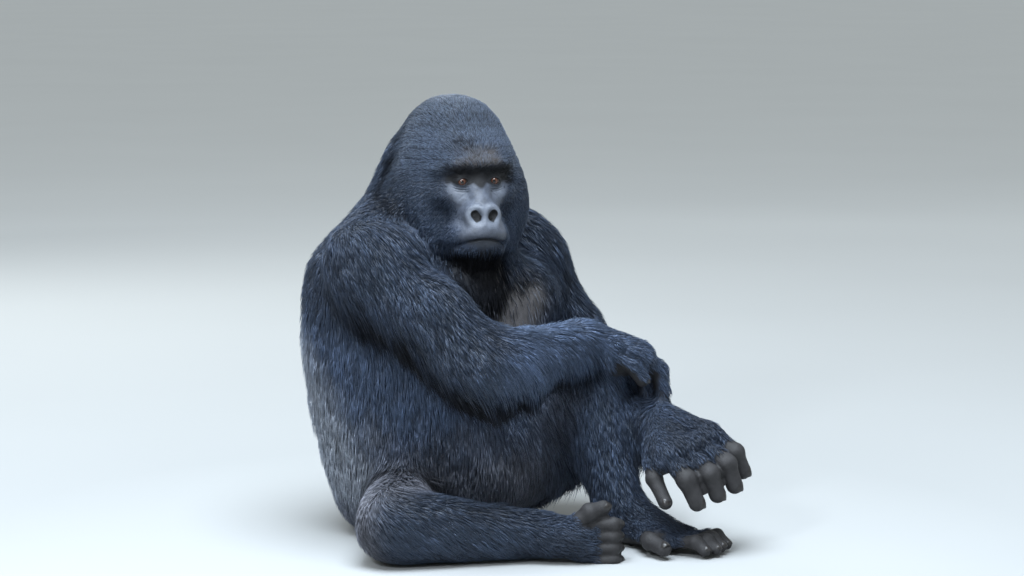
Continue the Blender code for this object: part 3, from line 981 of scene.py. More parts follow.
def coatColours(seatPoints, headPoints, outs, shares):
    # the colour of the coat with its painted fill light and painted shade, and how far it is the dull black
    # or painted shade
    part = {name: values[:, None] for name, values in partsOf(shares).items()}
    y, z = seatPoints[:, 1:2], seatPoints[:, 2:]
    s, f, h = headPoints[:, :1], headPoints[:, 1:2], headPoints[:, 2:]
    patch = noise(seatPoints, *grains["patch"])[:, None]
    ragged = 0.006 * noise(seatPoints, *grains["ragged"])[:, None]
    colour = np.repeat(tone("black"), len(seatPoints), axis=0) * (1 + 0.18 * patch)
    # painted fill light: the right forearm and hand, the lower trunk, the lower head and the left leg are
    # made lighter to make up for the shade they fall in
    lift = 1.35 * (part["forearm_right"] + part["hand_right"]) + 1.45 * part["trunk"] * step01(0.56, 0.44, z)
    lift = lift + 0.7 * part["head"] * step01(-0.03, -0.09, h)
    lift = lift + 0.5 * (part["thigh_left"] + part["shin_left"])
    colour = colour * (1 + lift)
    saddle = saddleOf(part, y, z, patch)
    colour = mix(colour, tone("silver"), 0.90 * saddle)
    # the grey of the thighs and low flank: partly their own colour, partly painted fill light for the shade
    # they lie in
    low = step01(0.34, 0.16, z + 0.03 * patch)
    dome = part["thigh_right"] + 0.4 * part["thigh_left"] + part["trunk"] * low
    colour = mix(colour, tone("dome"), 0.7 * np.clip(dome, 0, 1) * (1 - saddle))
    # the pale patch on the breast: its own colour, made lighter as painted fill light for the shade it lies
    # in
    chest = chestBareness(seatPoints + seat)[:, None] * part["trunk"]
    colour = mix(colour, tone("chest"), 0.5 * chest)
    # painted shade: the crown is made darker to offset the light that falls on it from above
    crown = part["head"] * step01(0.070, 0.130, h)
    colour = mix(colour, tone("crown"), 0.8 * crown)
    brown = part["head"] * step01(0.062, 0.040, np.abs(s)) * step01(0.030, 0.042, h) * step01(0.080, 0.064, h)
    brown = brown * step01(0.05, 0.09, f)
    colour = mix(colour, tone("brown"), 0.9 * brown * step01(-0.6, 0.3, patch + 0.3))
    # the last argument marks faces that turn downward, where the arms get painted shade
    dark = dullAndShadeOf(part, s, f, h, ragged, step01(0.10, -0.55, outs[:, 2:] + 0.15 * patch))
    return mix(colour, tone("dark"), dark), dark[:, 0]


def faceColours():
    # the bare face with painted highlights on the nose rims and cheeks, and where it is darkest: dark skin
    # and painted shade round the eyes, painted shade in the nostrils and between the lips
    s, f, z = headPoints.T
    side = np.abs(s)
    face = tone("face") * (1 + 0.20 * noise(points, *grains["face"])[:, None])
    # painted highlight on the rolled rims of the nostrils
    (apart, _, height), (wide, tall) = nostrilRim
    nose = hump(np.hypot((side - apart) / wide, (z - height) / tall) - 1, 0.42) * step01(0.175, 0.190, f)
    face = mix(face, tone("rim"), 0.85 * nose[:, None])
    # painted highlight on the cheeks below the eyes
    cheekHighlight = blot(side - 0.046, 0.020, z + 0.022, 0.014) * step01(0.11, 0.13, f)
    face = mix(face, tone("rim"), 0.55 * cheekHighlight[:, None])
    upperLip = hump(z + 0.098, 0.015) * step01(0.06, 0.03, side)
    lip = upperLip + 0.45 * hump(z + 0.125, 0.005) * step01(0.030, 0.006, side)
    face = mix(face, tone("lip"), 0.8 * np.clip(lip, 0, 1)[:, None])
    lower = step01(0.002, -0.006, z - mouthLine(s)) * step01(0.13, 0.15, f)
    face = face * (1 - 0.50 * lower[:, None])
    # dark upper lids and a dark ring round each eye: partly dark skin, partly painted shade under the brow,
    # reaching down between the eyes
    dark = step01(-0.004, 0.006, z + 0.011 * step01(0.018, 0.0, side)) * step01(0.095, 0.070, side)
    eyeRim = hump(np.hypot((side - eye["spread"]) / 0.0145, (z - eye["height"]) / 0.0085) - 0.9, 0.35)
    face = mix(face, tone("lid"), np.clip(dark + 0.8 * eyeRim, 0, 1)[:, None])
    # painted shade in the crease between the lips and inside the nostrils
    mouth = hump(z - mouthLine(s), 0.0034) * (side < 0.066)
    level = mirrored(headPoints) * np.array([1.0, 0.0, 1.0])
    nostril = segment(level, (0.0100, 0, -0.0785), (0.0215, 0, -0.0625))[0]
    nostrilShade = step01(0.0100, 0.0084, nostril) * step01(0.2085, 0.2050, f) * step01(0.15, 0.17, f)
    face = mix(face, tone("hollow"), np.clip(mouth + nostrilShade, 0, 1)[:, None])
    return face, np.clip(dark + eyeRim + nostrilShade + mouth, 0, 1)


def skinColours():
    lockTone = 0.75 + 0.12 * np.clip(locks, -2, 2)[:, None]
    colour = coatColours(seatPoints, headPoints, normals, shares)[0] * lockTone
    face, darkest = faceColours()
    colour = mix(colour, face, faceBare[:, None])
    hand = tone("hand") * (1 + 0.25 * noise(points, *grains["hand"])[:, None])
    colour = mix(colour, hand, handBare[:, None])
    return mix(colour, tone("chest"), 0.8 * chestBare[:, None]), darkest


colours, dull = skinColours()
attribute(skin.data, "marking", colours)
# where the face is darkest, dark skin and painted shade alike, it is less glossy
bare = np.maximum(np.maximum(faceBare * (1 - 0.8 * dull), 0.4 * handBare), 0.5 * chestBare)
attribute(skin.data, "bare", np.clip(bare, 0, 1))
report("markings done")

# The coat: closed three-sided tufts, rooted in the skin, that follow its surface and overlap like thatch.

# girths are those of a tuft's rings against its full width, and patch is the side of its place on the unwrap
coat = {
    "tufts": 149000,
    "segments": 2,
    "girths": (0.75, 1.0),
    "rootDepth": 0.0015,
    "floorGap": 0.0025,
    "clump": 0.022,
    "gather": 0.35,
    # how dark a tuft's root is painted against its colour, as shade deep in the coat
    "rootTone": 0.5,
    "patch": 0.0030,
    "pieceTriangles": 190000,
    "seed": 11,
}
# how far off the skin a root is tried, and how much room it needs there
airRoom = (0.003, 0.014)


def rootsOfCoat(rng):
    density = np.maximum(coatValue(shares, 3), 1)
    density *= (1 - 0.975 * np.clip(np.maximum(faceBare, handBare), 0, 1)) * (1 - 0.93 * chestBare)
    density[handBare > 0.75] = 0
    density[faceBare > 0.97] = 0
    corners = points[triangles]
    area = length(np.cross(corners[:, 1] - corners[:, 0], corners[:, 2] - corners[:, 0])) / 2
    weight = area * density[triangles].mean(axis=1)
    total = np.cumsum(weight)
    marks = (np.arange(coat["tufts"]) + rng.random(coat["tufts"])) / coat["tufts"] * total[-1]
    faces = np.searchsorted(total, marks)
    first, second = rng.random((2, coat["tufts"]))
    flip = first + second > 1
    first[flip], second[flip] = 1 - first[flip], 1 - second[flip]
    return faces, np.stack([1 - first - second, first, second], axis=1)


def atRoots(values, faces, weights):
    return np.einsum("ij,ij...->i...", weights, values[triangles[faces]])


def openToAir(roots, outward):
    # leaves out roots pressed against another part of the body
    above, room = airRoom
    starts = roots + outward * above
    cast = skinSurface.ray_cast
    return np.array([cast(*ray, room)[0] is None for ray in zip(starts.tolist(), outward.tolist())])


rng = np.random.default_rng(coat["seed"])
rootFaces, weights = rootsOfCoat(rng)
free = openToAir(atRoots(points, rootFaces, weights), unit(atRoots(normals, rootFaces, weights)))
rootFaces, weights = rootFaces[free], weights[free]
roots = atRoots(points, rootFaces, weights)
outward = unit(atRoots(normals, rootFaces, weights))
rootShares = atRoots(shares, rootFaces, weights)
rootLie = flatten(atRoots(lie, rootFaces, weights), outward)
rootBare = atRoots(np.maximum(faceBare, handBare), rootFaces, weights)
rootLocks = atRoots(locks, rootFaces, weights)
rootColours, rootDark = coatColours(roots - seat, toHead(roots), outward, rootShares)
report("roots: %d tufts" % len(roots))


unwrap = {"faces": 9000, "angle": 62, "margin": 0.004}


def unwrapPlaces():
    # where each root lies on an unwrap of a lighter copy of the skin
    light = skin.copy()
    light.data = skin.data.copy()
    bpy.context.scene.collection.objects.link(light)
    thin = light.modifiers.new("Decimate", "DECIMATE")
    thin.ratio = unwrap["faces"] / len(triangles)
    applyAll(light)
    pick(light)
    bpy.ops.object.mode_set(mode="EDIT")
    bpy.ops.mesh.select_all(action="SELECT")
    bpy.ops.uv.smart_project(angle_limit=math.radians(unwrap["angle"]), island_margin=unwrap["margin"])
    bpy.ops.object.mode_set(mode="OBJECT")
    mesh = light.data
    corners = trianglesOf(mesh)
    loops = pulled(mesh.loop_triangles, "loops", 3, np.int32)
    places = pulled(mesh.uv_layers.active.data, "uv", 2, np.float32)[loops]
    spots = coords(mesh)
    find = BVHTree.FromPolygons(spots.tolist(), corners.tolist()).find_nearest
    hits = [find(root) for root in roots.tolist()]
    index = np.array([hit[2] for hit in hits])
    foot = np.array([hit[0] for hit in hits])
    a, b, c = spots[corners[index]].transpose(1, 0, 2)
    normal = np.cross(b - a, c - a)
    size = np.maximum(np.sum(normal * normal, axis=1), 1e-18)
    second = np.clip(np.sum(np.cross(foot - a, c - a) * normal, axis=1) / size, 0, 1)
    third = np.clip(np.sum(np.cross(b - a, foot - a) * normal, axis=1) / size, 0, 1)
    bary = np.stack([1 - second - third, second, third], axis=1)
    bpy.data.objects.remove(light)
    return np.einsum("ij,ijk->ik", bary, places[index])


rootPlaces = unwrapPlaces()
report("roots placed on the unwrap")


# from and to what chance varies each value of a tuft, and by about how many degrees it turns one aside
chance = {
    "reach": (0.72, 1.25),
    "loose": (-0.4, 0.4),
    "shorter": (0.0, 0.5),
    "lift": (-0.25, 0.25),
    "width": (0.8, 1.2),
    "tone": (-0.35, 0.40),
    # how much lighter a tip is painted, as sheen
    "tip": (0.0, 0.9),
    "spin": 9,
}


def growPaths(chosen):
    # where each tuft's middle line runs, from root to tip
    count = len(chosen)
    out, way, where = outward[chosen], rootLie[chosen], roots[chosen]
    bareness = np.clip(rootBare[chosen], 0, 1)
    part = partsOf(rootShares[chosen])
    onHead = part["head"]
    h = toHead(where)
    faceSide = onHead * step01(-0.02, 0.10, h[:, 1]) * step01(-0.16, -0.10, h[:, 2])
    beard = onHead * step01(-0.140, -0.190, h[:, 2]) * step01(0.0, 0.06, h[:, 1])
    reach = coatValue(rootShares[chosen], 1) * rng.uniform(*chance["reach"], count)
    reach = reach * (1 - 0.45 * faceSide) * (1 + 2.8 * beard) * (1 - 0.6 * bareness)
    depth = coatValue(rootShares[chosen], 0) * (1 - 0.5 * onHead * step01(0.02, 0.10, h[:, 1]))
    depth = depth * (1 - 0.6 * bareness)
    spin = np.radians(rng.normal(0, chance["spin"], count) * (1 - 0.4 * onHead))
    way = way * np.cos(spin)[:, None] + np.cross(out, way) * np.sin(spin)[:, None]
    lock = np.clip(rootLocks[chosen], -2, 2)
    shaggy = armsOf(part) + part["shin_left"] + 0.5 * part["thigh_left"]
    hanging = np.clip(0.7 + 0.35 * lock + rng.uniform(*chance["loose"], count), 0, 1.5)
    loose = shaggy * step01(0.2, -0.5, out[:, 2]) * hanging
    shorter = np.clip(loose, 0, 1) * rng.uniform(*chance["shorter"], count)
    reach = reach * (1 + 0.6 * loose) * (1 - shorter)
    lift = 0.62 + (0.20 * lock + rng.uniform(*chance["lift"], count)) * (1 - 0.5 * onHead)
    lift = np.clip(lift, 0.2, 1.1)
    path, outs = [where - out * coat["rootDepth"]], [out]
    now = where
    for step in range(1, coat["segments"] + 1):
        along = step / coat["segments"]
        aim = unit(way + gravity * (0.25 + 0.9 * loose[:, None]) * along)
        now = now + aim * (reach / coat["segments"])[:, None]
        index = nearest(skinTree, now)
        over = normals[index]
        height = np.sum((now - points[index]) * over, axis=1)
        low = depth * lift * along ** 0.8
        wanted = np.clip(height, low, low + depth * 0.15 + 0.035 * loose * along)
        now = now + over * (wanted - height)[:, None]
        way = unit(0.45 * way + 0.55 * flatten(lie[index], over))
        path.append(now)
        outs.append(over)
    return np.stack(path, axis=1), np.stack(outs, axis=1)


# mixes the three numbers of a cell into one
cellPrimes = np.array([73856093, 19349663, 83492791])


def gather(path):
    # draws neighbouring tips together, so that the coat lies in soft locks
    cell = np.floor(path[:, 0] / coat["clump"]).astype(np.int64)
    _, group = np.unique(np.bitwise_xor.reduce(cell * cellPrimes, axis=1), return_inverse=True)
    number = np.maximum(np.bincount(group), 1)

    def meanOf(values):
        return np.stack([np.bincount(group, weights=column) / number for column in values.T], axis=1)[group]

    centre = meanOf(path[:, 0])
    for step in range(1, path.shape[1]):
        pull = coat["gather"] * (step / (path.shape[1] - 1)) ** 1.3
        target = centre + meanOf(path[:, step] - path[:, 0])
        path[:, step] += (target - path[:, step]) * pull * 0.6
    return path


def tuftFaces(rings):
    # the corners of one tuft's faces: four-sided between its rings, then the tip and the closed root
    quads = []
    for low in range(0, (rings - 1) * 3, 3):
        for a, b in ((0, 1), (1, 2), (2, 0)):
            quads.append((low + a, low + b, low + 3 + b, low + 3 + a))
    last, tip = (rings - 1) * 3, rings * 3
    fans = [(last, last + 1, tip), (last + 1, last + 2, tip), (last + 2, last, tip), (1, 0, 2)]
    corners = np.concatenate([np.array(quads).ravel(), np.array(fans).ravel()])
    return corners, np.array([4] * len(quads) + [3] * len(fans))


def tuftMesh(name, path, outs, width, colour, places, tipSheen):
    count, rings = len(path), coat["segments"]
    perTuft = rings * 3 + 1
    along = np.gradient(path, axis=1)
    side = unit(np.cross(along, outs))
    lifted = unit(np.cross(side, along))
    vertices = np.empty((count, perTuft, 3))
    uv = np.empty((count, perTuft, 2))
    shade = np.empty((count, perTuft, 3))
    half = coat["patch"] / 2
    for ring, girth in enumerate(coat["girths"]):
        wide = (width * girth)[:, None]
        low = ring * 3
        vertices[:, low] = path[:, ring] - side[:, ring] * wide
        vertices[:, low + 1] = path[:, ring] + side[:, ring] * wide
        vertices[:, low + 2] = path[:, ring] + lifted[:, ring] * wide * 0.75
        far = ring / rings
        for corner, (u, v) in enumerate(((-1, -1), (1, -1), (0, -0.6))):
            uv[:, low + corner, 0] = places[:, 0] + half * u * (1 - far)
            uv[:, low + corner, 1] = places[:, 1] + half * (v * (1 - far) + far)
            # painted shade at the root of each tuft, and painted sheen towards its lighter tip
            shade[:, low + corner] = colour * mix(coat["rootTone"], tipSheen, far)[:, None]
    vertices[:, -1] = path[:, -1]
    uv[:, -1] = places + np.array([0, half])
    shade[:, -1] = colour * tipSheen[:, None]
    corners, sizes = tuftFaces(rings)
    loops = (corners[None, :] + (np.arange(count) * perTuft)[:, None]).ravel()
    starts = np.concatenate([[0], np.cumsum(np.tile(sizes, count))[:-1]])
    mesh = bpy.data.meshes.new(name)
    mesh.vertices.add(count * perTuft)
    mesh.loops.add(len(loops))
    mesh.polygons.add(len(starts))
    mesh.vertices.foreach_set("co", vertices.astype(np.float32).ravel())
    mesh.loops.foreach_set("vertex_index", loops.astype(np.int32))
    mesh.polygons.foreach_set("loop_start", starts.astype(np.int32))
    mesh.update(calc_edges=True)
    mesh.shade_smooth()
    attribute(mesh, "marking", shade.reshape(-1, 3))
    layer = mesh.uv_layers.new(name="OFBake")
    layer.data.foreach_set("uv", uv.reshape(-1, 2)[loops].astype(np.float32).ravel())
    return linked(name, mesh)


def growCoat(label, chosen):
    path, outs = growPaths(chosen)
    path = gather(path)
    path[:, :, 2] = np.maximum(path[:, :, 2], coat["floorGap"])
    count = len(chosen)
    part = partsOf(rootShares[chosen])
    width = coatValue(rootShares[chosen], 2) * rng.uniform(*chance["width"], count)
    width = width * (1 - 0.4 * np.clip(rootBare[chosen], 0, 1))
    lock = 0.22 * np.clip(rootLocks[chosen], -2.2, 2.2) * (1 - 0.55 * part["head"] - 0.35 * part["trunk"])
    vary = np.exp(lock) * (1 + rng.uniform(*chance["tone"], count) * (1 - 0.6 * part["head"]))
    colour = rootColours[chosen] * vary[:, None]
    # painted sheen: how much lighter each tip is
    tipSheen = 1 + rng.uniform(*chance["tip"], count) ** 1.5 * (1 - 0.6 * part["head"])
    perTuft = 6 * coat["segments"] - 2
    pieces = math.ceil(count * perTuft / coat["pieceTriangles"])
    made = []
    order = np.argsort(roots[chosen][:, 2])
    values = (path, outs, width, colour, rootPlaces[chosen], tipSheen)
    for number, rows in enumerate(np.array_split(order, pieces)):
        made.append(tuftMesh("%s_%d" % (label, number + 1), *(value[rows] for value in values)))
    report("%s: %d tufts in %d pieces" % (label, count, pieces))
    return made


strongest = np.argmax(rootShares, axis=1)
groups = {
    "coat_head": ["head", "neck"],
    "coat_trunk": ["trunk"],
    "coat_arm_right": ["upper_arm_right", "forearm_right", "hand_right"],
    "coat_arm_left": ["upper_arm_left", "forearm_left", "hand_left"],
    "coat_legs": ["thigh_left", "shin_left", "foot_left", "thigh_right", "shin_right", "foot_right"],
}
# tufts of the dull black and of the painted shade go into the duller pieces
dullBlackAndShade = rootDark > rng.random(len(roots))
darkPieces = growCoat("coat_dark", np.nonzero(dullBlackAndShade)[0])
coatPieces = []
for label, members in groups.items():
    wanted = np.isin(strongest, [fleshNames.index(name) for name in members]) & ~dullBlackAndShade
    coatPieces += growCoat(label, np.nonzero(wanted)[0])

# Eyes: a ball with a domed cornea, its iris and pupil in colour rings, all looking the same way.

gaze = unit(front * 0.96 - left * 0.20 + up * -0.02)
# where iris, its rim and the pupil end, in degrees from the middle, and how high the cornea stands
eyeLook = {"iris": 40.0, "pupil": 15.0, "dome": 0.0011, "rim": 44.0}
eyeTones = {"white": (0.050, 0.036, 0.030), "iris": (0.100, 0.038, 0.022), "pupil": 0.0015}


def buildEye(name, middle):
    ball = sphere(name, 64, 48, eye["radius"])
    now = coords(ball.data)
    angle = np.degrees(np.arccos(np.clip(now[:, 2] / eye["radius"], -1, 1)))
    spin = np.arctan2(now[:, 1], now[:, 0])
    now *= (1 + eyeLook["dome"] / eye["radius"] * step01(eyeLook["rim"] + 6, 8, angle))[:, None]
    turn = np.array(Vector(gaze).to_track_quat("Z", "Y").to_matrix())
    setCoords(ball.data, now @ turn.T + middle)
    streaks = 0.75 + 0.35 * np.sin(spin * 23) * np.sin(spin * 9 + 1.0)
    white = np.array([eyeTones["white"]]) * (1 + 0.3 * np.sin(spin * 7))[:, None]
    iris = np.array([eyeTones["iris"]]) * streaks[:, None]
    iris = mix(iris, iris * 0.25, step01(0.75, 1.0, angle / eyeLook["iris"])[:, None])
    colour = mix(iris, white, step01(eyeLook["iris"], eyeLook["rim"], angle)[:, None])
    past = step01(eyeLook["pupil"] - 1, eyeLook["pupil"] + 1.5, angle)
    colour = mix(np.full_like(colour, eyeTones["pupil"]), colour, past[:, None])
    attribute(ball.data, "marking", colour)
    return smoothed(ball)


eyes = [buildEye("eyeball_" + side, middleOf("eye_" + side)) for side in ("left", "right")]

# Ears: a rounded shell with a rolled rim, painted lighter as a highlight, round a bowl painted near black as
# shade, close to the head and half lost in the coat.

# where it sits in the head's axes, then its size
earShape = {
    "side": 0.1262,
    "depth": 0.020,
    "rise": 0.020,
    "width": 0.018,
    "height": 0.026,
    "thick": 0.0080,
    "bowl": 0.0085,
    "rim": 0.0032,
    "fold": 0.0022,
}


def buildEar(name, sign):
    ear = sphere(name, 48, 32, 1.0)
    ball = coords(ear.data)
    across, rise, out = ball[:, 0], ball[:, 1], ball[:, 2]
    rho = np.hypot(across * 1.08, rise)
    rim = hump(rho - 0.80, 0.17)
    bowl = earShape["bowl"] * step01(0.78, 0.25, rho)
    depth = out * earShape["thick"] + (out > 0) * (earShape["rim"] * rim - bowl)
    lobe = 1 - 0.25 * step01(0.1, -0.9, rise)
    fold = earShape["fold"] * hump(rho - 0.45 - 0.12 * rise, 0.10) * (out > 0)
    beside = sign * (earShape["side"] + depth + fold)
    ahead = earShape["depth"] - across * earShape["width"] * lobe
    # leans back towards its outer edge
    ahead = ahead - 0.25 * (beside * sign - 0.135)
    above = earShape["rise"] + rise * earShape["height"]
    setCoords(ear.data, fromHead(np.stack([beside, ahead, above], axis=1)))
    if sign > 0:
        ear.data.flip_normals()
    # painted highlight on the rolled rim, and painted shade in the bowl
    colour = tone("black") * (1.0 + 0.3 * rim)[:, None]
    colour = mix(colour, tone("hollow"), (step01(0.62, 0.30, rho) * (out > 0))[:, None])
    attribute(ear.data, "marking", colour)
    attribute(ear.data, "bare", np.full(len(ball), 0.2))
    return smoothed(ear)


ears = [buildEar("ear_shell_left", 1), buildEar("ear_shell_right", -1)]

# Nails: a curved plate on the end of every digit.

# length, width and arch are shares of the digit's radius
nail = {
    "length": 0.95,
    "width": 0.62,
    "thick": 0.0011,
    "raised": 0.0009,
    "arch": 0.34,
    "rows": 7,
    "columns": 9,
    "floorGap": 0.0010,
}


def nailPoint(top, ahead, side, back, radius, u, v):
    # u runs across the nail and v along it, both from -1 to 1
    narrow = math.sqrt(max(0.0, 1 - (0.55 * max(v, 0)) ** 2)) * (1 - 0.12 * max(-v, 0) ** 2)
    drop = radius * (nail["arch"] * u * u + 0.16 * max(v, 0) ** 2 + 0.05 * max(-v, 0))
    tipCurve = 0.18 * (1 - u * u) * max(v, 0)
    across = side * (u * narrow * nail["width"] * radius)
    along = ahead * radius * (v * nail["length"] * 0.5 + tipCurve)
    return top + across + along + back * (nail["raised"] - drop)


def evenly(count):
    return [step / (count - 1) * 2 - 1 for step in range(count)]


def closePlate(form, upper, lower):
    # faces over, under and all round a plate
    last, end = nail["rows"] - 1, nail["columns"] - 1
    for r in range(last):
        for c in range(end):
            form.faces.new((upper[r][c], upper[r][c + 1], upper[r + 1][c + 1], upper[r + 1][c]))
            form.faces.new((lower[r][c], lower[r + 1][c], lower[r + 1][c + 1], lower[r][c + 1]))
    for r in range(last):
        form.faces.new((upper[r][0], upper[r + 1][0], lower[r + 1][0], lower[r][0]))
        form.faces.new((upper[r][end], lower[r][end], lower[r + 1][end], upper[r + 1][end]))
    for c in range(end):
        form.faces.new((upper[0][c], lower[0][c], lower[0][c + 1], upper[0][c + 1]))
        form.faces.new((upper[last][c], upper[last][c + 1], lower[last][c + 1], lower[last][c]))


def buildNails():
    form = bmesh.new()
    for _, _, bend, tip, radius, back in digits:
        ahead = unit(tip - bend)
        back = unit(np.array(back) - ahead * (np.array(back) @ ahead))
        side = np.cross(ahead, back)
        middle = tip + ahead * radius * 0.10
        hit = skinSurface.ray_cast(Vector(middle + back * radius * 3), Vector(-back), radius * 4)
        top = np.array(hit[0]) if hit[0] is not None else middle + back * radius
        rows = []
        for v in evenly(nail["rows"]):
            rows.append([nailPoint(top, ahead, side, back, radius, u, v) for u in evenly(nail["columns"])])
        upper = [[form.verts.new(spot) for spot in line] for line in rows]
        lower = [[form.verts.new(spot - back * nail["thick"]) for spot in line] for line in rows]
        closePlate(form, upper, lower)
    for vert in form.verts:
        vert.co.z = max(vert.co.z, nail["floorGap"])
    bmesh.ops.recalc_face_normals(form, faces=form.faces)
    mesh = bpy.data.meshes.new("nails")
    form.to_mesh(mesh)
    form.free()
    return smoothed(linked("nails", mesh))


nails = buildNails()
report("eyes, ears and nails")

# Materials.


class Nodes:
    def __init__(self, name):
        self.material = bpy.data.materials.new(name)
        self.material.use_nodes = True
        self.tree = self.material.node_tree
        self.shader = self.tree.nodes["Principled BSDF"]

    def put(self, socket, value):
        # another node's output is linked, anything else is set on the socket itself
        if hasattr(value, "is_output"):
            self.tree.links.new(value, socket)
        else:
            socket.default_value = value

    def add(self, kind, inputs=None, **settings):
        node = self.tree.nodes.new(kind)
        for key, value in settings.items():
            setattr(node, key, value)
        for key, value in (inputs or {}).items():
            self.put(node.inputs[key], value)
        return node

    def feed(self, key, value):
        self.put(self.shader.inputs[key], value)

    def marking(self):
        return self.add("ShaderNodeAttribute", attribute_name="marking").outputs["Color"]

    def place(self):
        return self.add("ShaderNodeTexCoord").outputs["Object"]

    def noise(self, scale, detail=3.0, roughness=0.5):
        inputs = {"Vector": self.place(), "Scale": scale, "Detail": detail, "Roughness": roughness}
        return self.add("ShaderNodeTexNoise", inputs).outputs["Fac"]

    def span(self, value, low, high, start=0.0, end=1.0):
        return self.add("ShaderNodeMapRange", {0: value, 1: low, 2: high, 3: start, 4: end}).outputs["Result"]

    def times(self, colour, factor):
        grey = self.add("ShaderNodeCombineColor", {0: factor, 1: factor, 2: factor}).outputs["Color"]
        inputs = {0: 1.0, 6: colour, 7: grey}
        return self.add("ShaderNodeMix", inputs, data_type="RGBA", blend_type="MULTIPLY").outputs[2]

    def bump(self, height, strength, distance, before=None):
        inputs = {"Height": height, "Strength": strength, "Distance": distance}
        if before is not None:
            inputs["Normal"] = before
        return self.add("ShaderNodeBump", inputs).outputs["Normal"]


# roughness from and to, specular level and sheen
coatLooks = {"coat_black": (0.47, 0.57, 0.42, 0.15), "coat_dark": (0.66, 0.74, 0.18, 0.0)}


def coatMaterial(name):
    low, high, shine, sheen = coatLooks[name]
    made = Nodes(name)
    streak = made.span(made.noise(60.0, 2.0), 0.3, 0.7, 0.88, 1.12)
    made.feed("Base Color", made.times(made.marking(), streak))
    made.feed("Roughness", made.span(made.noise(35.0, 2.0), 0.3, 0.7, low, high))
    made.feed("Specular IOR Level", shine)
    made.feed("Sheen Weight", sheen)
    made.feed("Sheen Roughness", 0.45)
    made.feed("Sheen Tint", (0.50, 0.68, 1.0, 1.0))
    return made.material


def skinMaterial():
    # pores, cells and wrinkles, one bump on top of the other
    made = Nodes("bare_skin")
    bare = made.add("ShaderNodeAttribute", attribute_name="bare").outputs["Fac"]
    fine = made.noise(420.0, 4.0, 0.6)
    broad = made.noise(70.0, 3.0)
    cellInputs = {"Vector": made.place(), "Scale": 380.0}
    cells = made.add("ShaderNodeTexVoronoi", cellInputs, feature="DISTANCE_TO_EDGE").outputs["Distance"]
    mottled = made.times(made.marking(), made.span(broad, 0.3, 0.7, 0.84, 1.14))
    made.feed("Base Color", made.times(mottled, made.span(fine, 0.3, 0.7, 0.9, 1.08)))
    bareRough = made.span(broad, 0.3, 0.7, 0.32, 0.46)
    made.feed("Roughness", made.add("ShaderNodeMix", {0: bare, 2: 0.8, 3: bareRough}).outputs[0])
    made.feed("Specular IOR Level", 0.36)
    normal = made.bump(made.span(cells, 0.0, 0.12), 0.35, 0.0006)
    normal = made.bump(fine, 0.45, 0.0010, normal)
    normal = made.bump(made.noise(130.0, 3.0, 0.65), 0.45, 0.0022, normal)
    made.feed("Normal", made.bump(broad, 0.35, 0.002, normal))
    return made.material


def eyeMaterial():
    made = Nodes("eye")
    speckle = made.span(made.noise(900.0, 2.0), 0.3, 0.7, 0.8, 1.2)
    made.feed("Base Color", made.times(made.marking(), speckle))
    made.feed("Roughness", made.span(made.noise(500.0, 1.0), 0.3, 0.7, 0.05, 0.08))
    made.feed("Specular IOR Level", 0.5)
    return made.material


def nailMaterial():
    made = Nodes("nail")
    ridges = made.noise(260.0, 2.0)
    inputs = {0: made.span(ridges, 0.3, 0.7), 6: (0.010, 0.009, 0.009, 1), 7: (0.024, 0.021, 0.020, 1)}
    made.feed("Base Color", made.add("ShaderNodeMix", inputs, data_type="RGBA").outputs[2])
    made.feed("Roughness", made.span(ridges, 0.3, 0.7, 0.28, 0.42))
    made.feed("Normal", made.bump(ridges, 0.2, 0.0004))
    return made.material


for pieces, look in (
    (coatPieces, coatMaterial("coat_black")),
    (darkPieces, coatMaterial("coat_dark")),
    ([skin] + ears, skinMaterial()),
    (eyes, eyeMaterial()),
    ([nails], nailMaterial()),
):
    for piece in pieces:
        piece.data.materials.clear()
        piece.data.materials.append(look)

# What each piece rides on, and which nodes are hidden.

for piece in [skin, nails] + coatPieces + darkPieces + ears + eyes:
    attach(piece, "root")
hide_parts(*fleshNames)
for side, ball, ear in zip(("left", "right"), eyes, ears):
    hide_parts("eye_" + side)
    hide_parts("ear_" + side)

# Stage, camera and lights.

# half its side, the distances from the middle between which its tone changes, and both tones; the floor is
# painted paler far off, where the light of the sky lamp falls off, as painted light
floorLook = {"half": 90.0, "near": 1.2, "far": 7.0, "nearTone": 0.36, "farTone": 0.80}
floorTint = (0.98, 1.0, 1.0, 1.0)


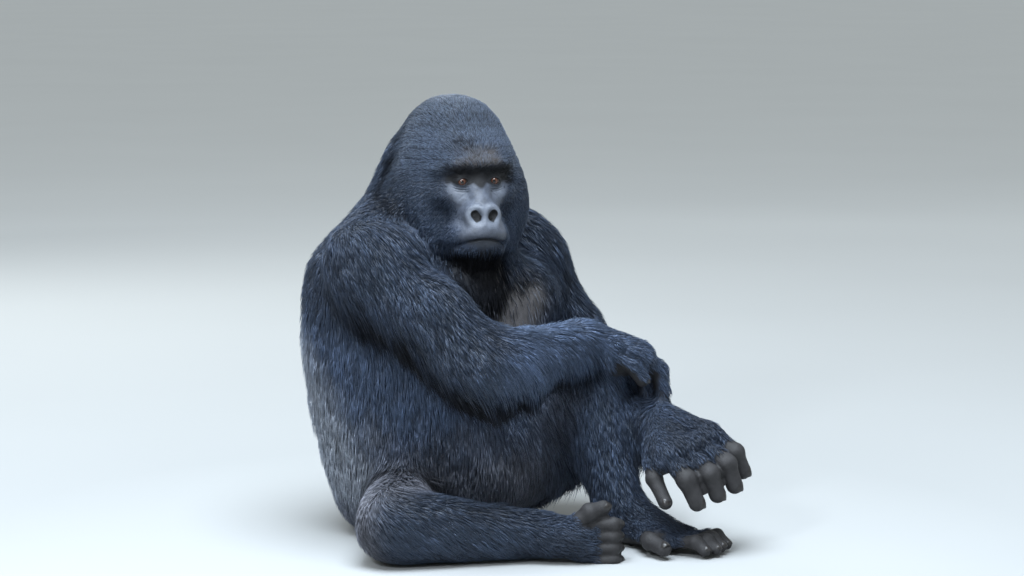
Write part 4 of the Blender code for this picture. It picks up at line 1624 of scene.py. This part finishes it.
def buildStage():
    bpy.ops.object.select_all(action="DESELECT")
    bpy.ops.mesh.primitive_plane_add(size=2 * floorLook["half"])
    floor = bpy.context.active_object
    floor.name = "floor"
    made = Nodes("floor")
    away = made.add("ShaderNodeVectorMath", {0: made.place()}, operation="LENGTH").outputs["Value"]
    # painted light: paler far from the middle, where the sky lamp's light falls off
    paintedFarLight = made.span(away, *(floorLook[key] for key in ("near", "far", "nearTone", "farTone")))
    cloudy = made.span(made.noise(0.8, 2.0), 0.3, 0.7, 0.99, 1.01)
    shade = made.add("ShaderNodeMath", {0: paintedFarLight, 1: cloudy}, operation="MULTIPLY")
    made.feed("Base Color", made.times(floorTint, shade.outputs[0]))
    made.feed("Roughness", 0.9)
    floor.data.materials.append(made.material)


# degrees round from the front and up, metres away, where it aims from the seat, sensor and lens in mm
view = {"turn": -50, "rise": 7, "away": 7.0, "aside": 0.16, "aim": 0.539, "sensor": 36, "lens": 110.7421875}


def buildCamera():
    turn, rise = math.radians(view["turn"]), math.radians(view["rise"])
    back = np.array([math.sin(turn) * math.cos(rise), -math.cos(turn) * math.cos(rise), math.sin(rise)])
    right = np.array([math.cos(turn), math.sin(turn), 0])
    aim = seat + right * view["aside"] + np.array([0, 0, view["aim"]])
    lens = bpy.data.cameras.new("camera")
    lens.sensor_width = view["sensor"]
    lens.lens = view["lens"]
    camera = linked("camera", lens)
    stand(camera, aim + back * view["away"], -back)
    bpy.context.scene.camera = camera


def areaLight(name, place, target, size, power, colour):
    light = bpy.data.lights.new(name, "AREA")
    light.shape = "DISK"
    light.size = size
    light.energy = power
    light.color = colour
    stand(linked(name, light), place, Vector(target) - Vector(place))


# place, target, size, power and colour
lamps = {
    "sky": ((-0.9, -0.6, 4.0), (0, 0, 0.6), 3.2, 430, (0.80, 0.90, 1.0)),
    "front": ((-3.3, -0.95, 2.2), (0, 0, 0.6), 0.5, 70, (0.84, 0.92, 1.0)),
    "rim": ((1.5, 4.5, 3.2), (0, 0, 0.7), 2.5, 80, (0.95, 1.0, 1.0)),
}
surround = {"Color": (0.80, 0.86, 0.88, 1.0), "Strength": 0.58}


def buildLights():
    for name, settings in lamps.items():
        areaLight(name, *settings)
    world = bpy.data.worlds.new("world")
    bpy.context.scene.world = world
    world.use_nodes = True
    for key, value in surround.items():
        world.node_tree.nodes["Background"].inputs[key].default_value = value


buildStage()
buildCamera()
buildLights()
bpy.context.scene.view_settings.view_transform = "Standard"
report("stage, camera and lights")
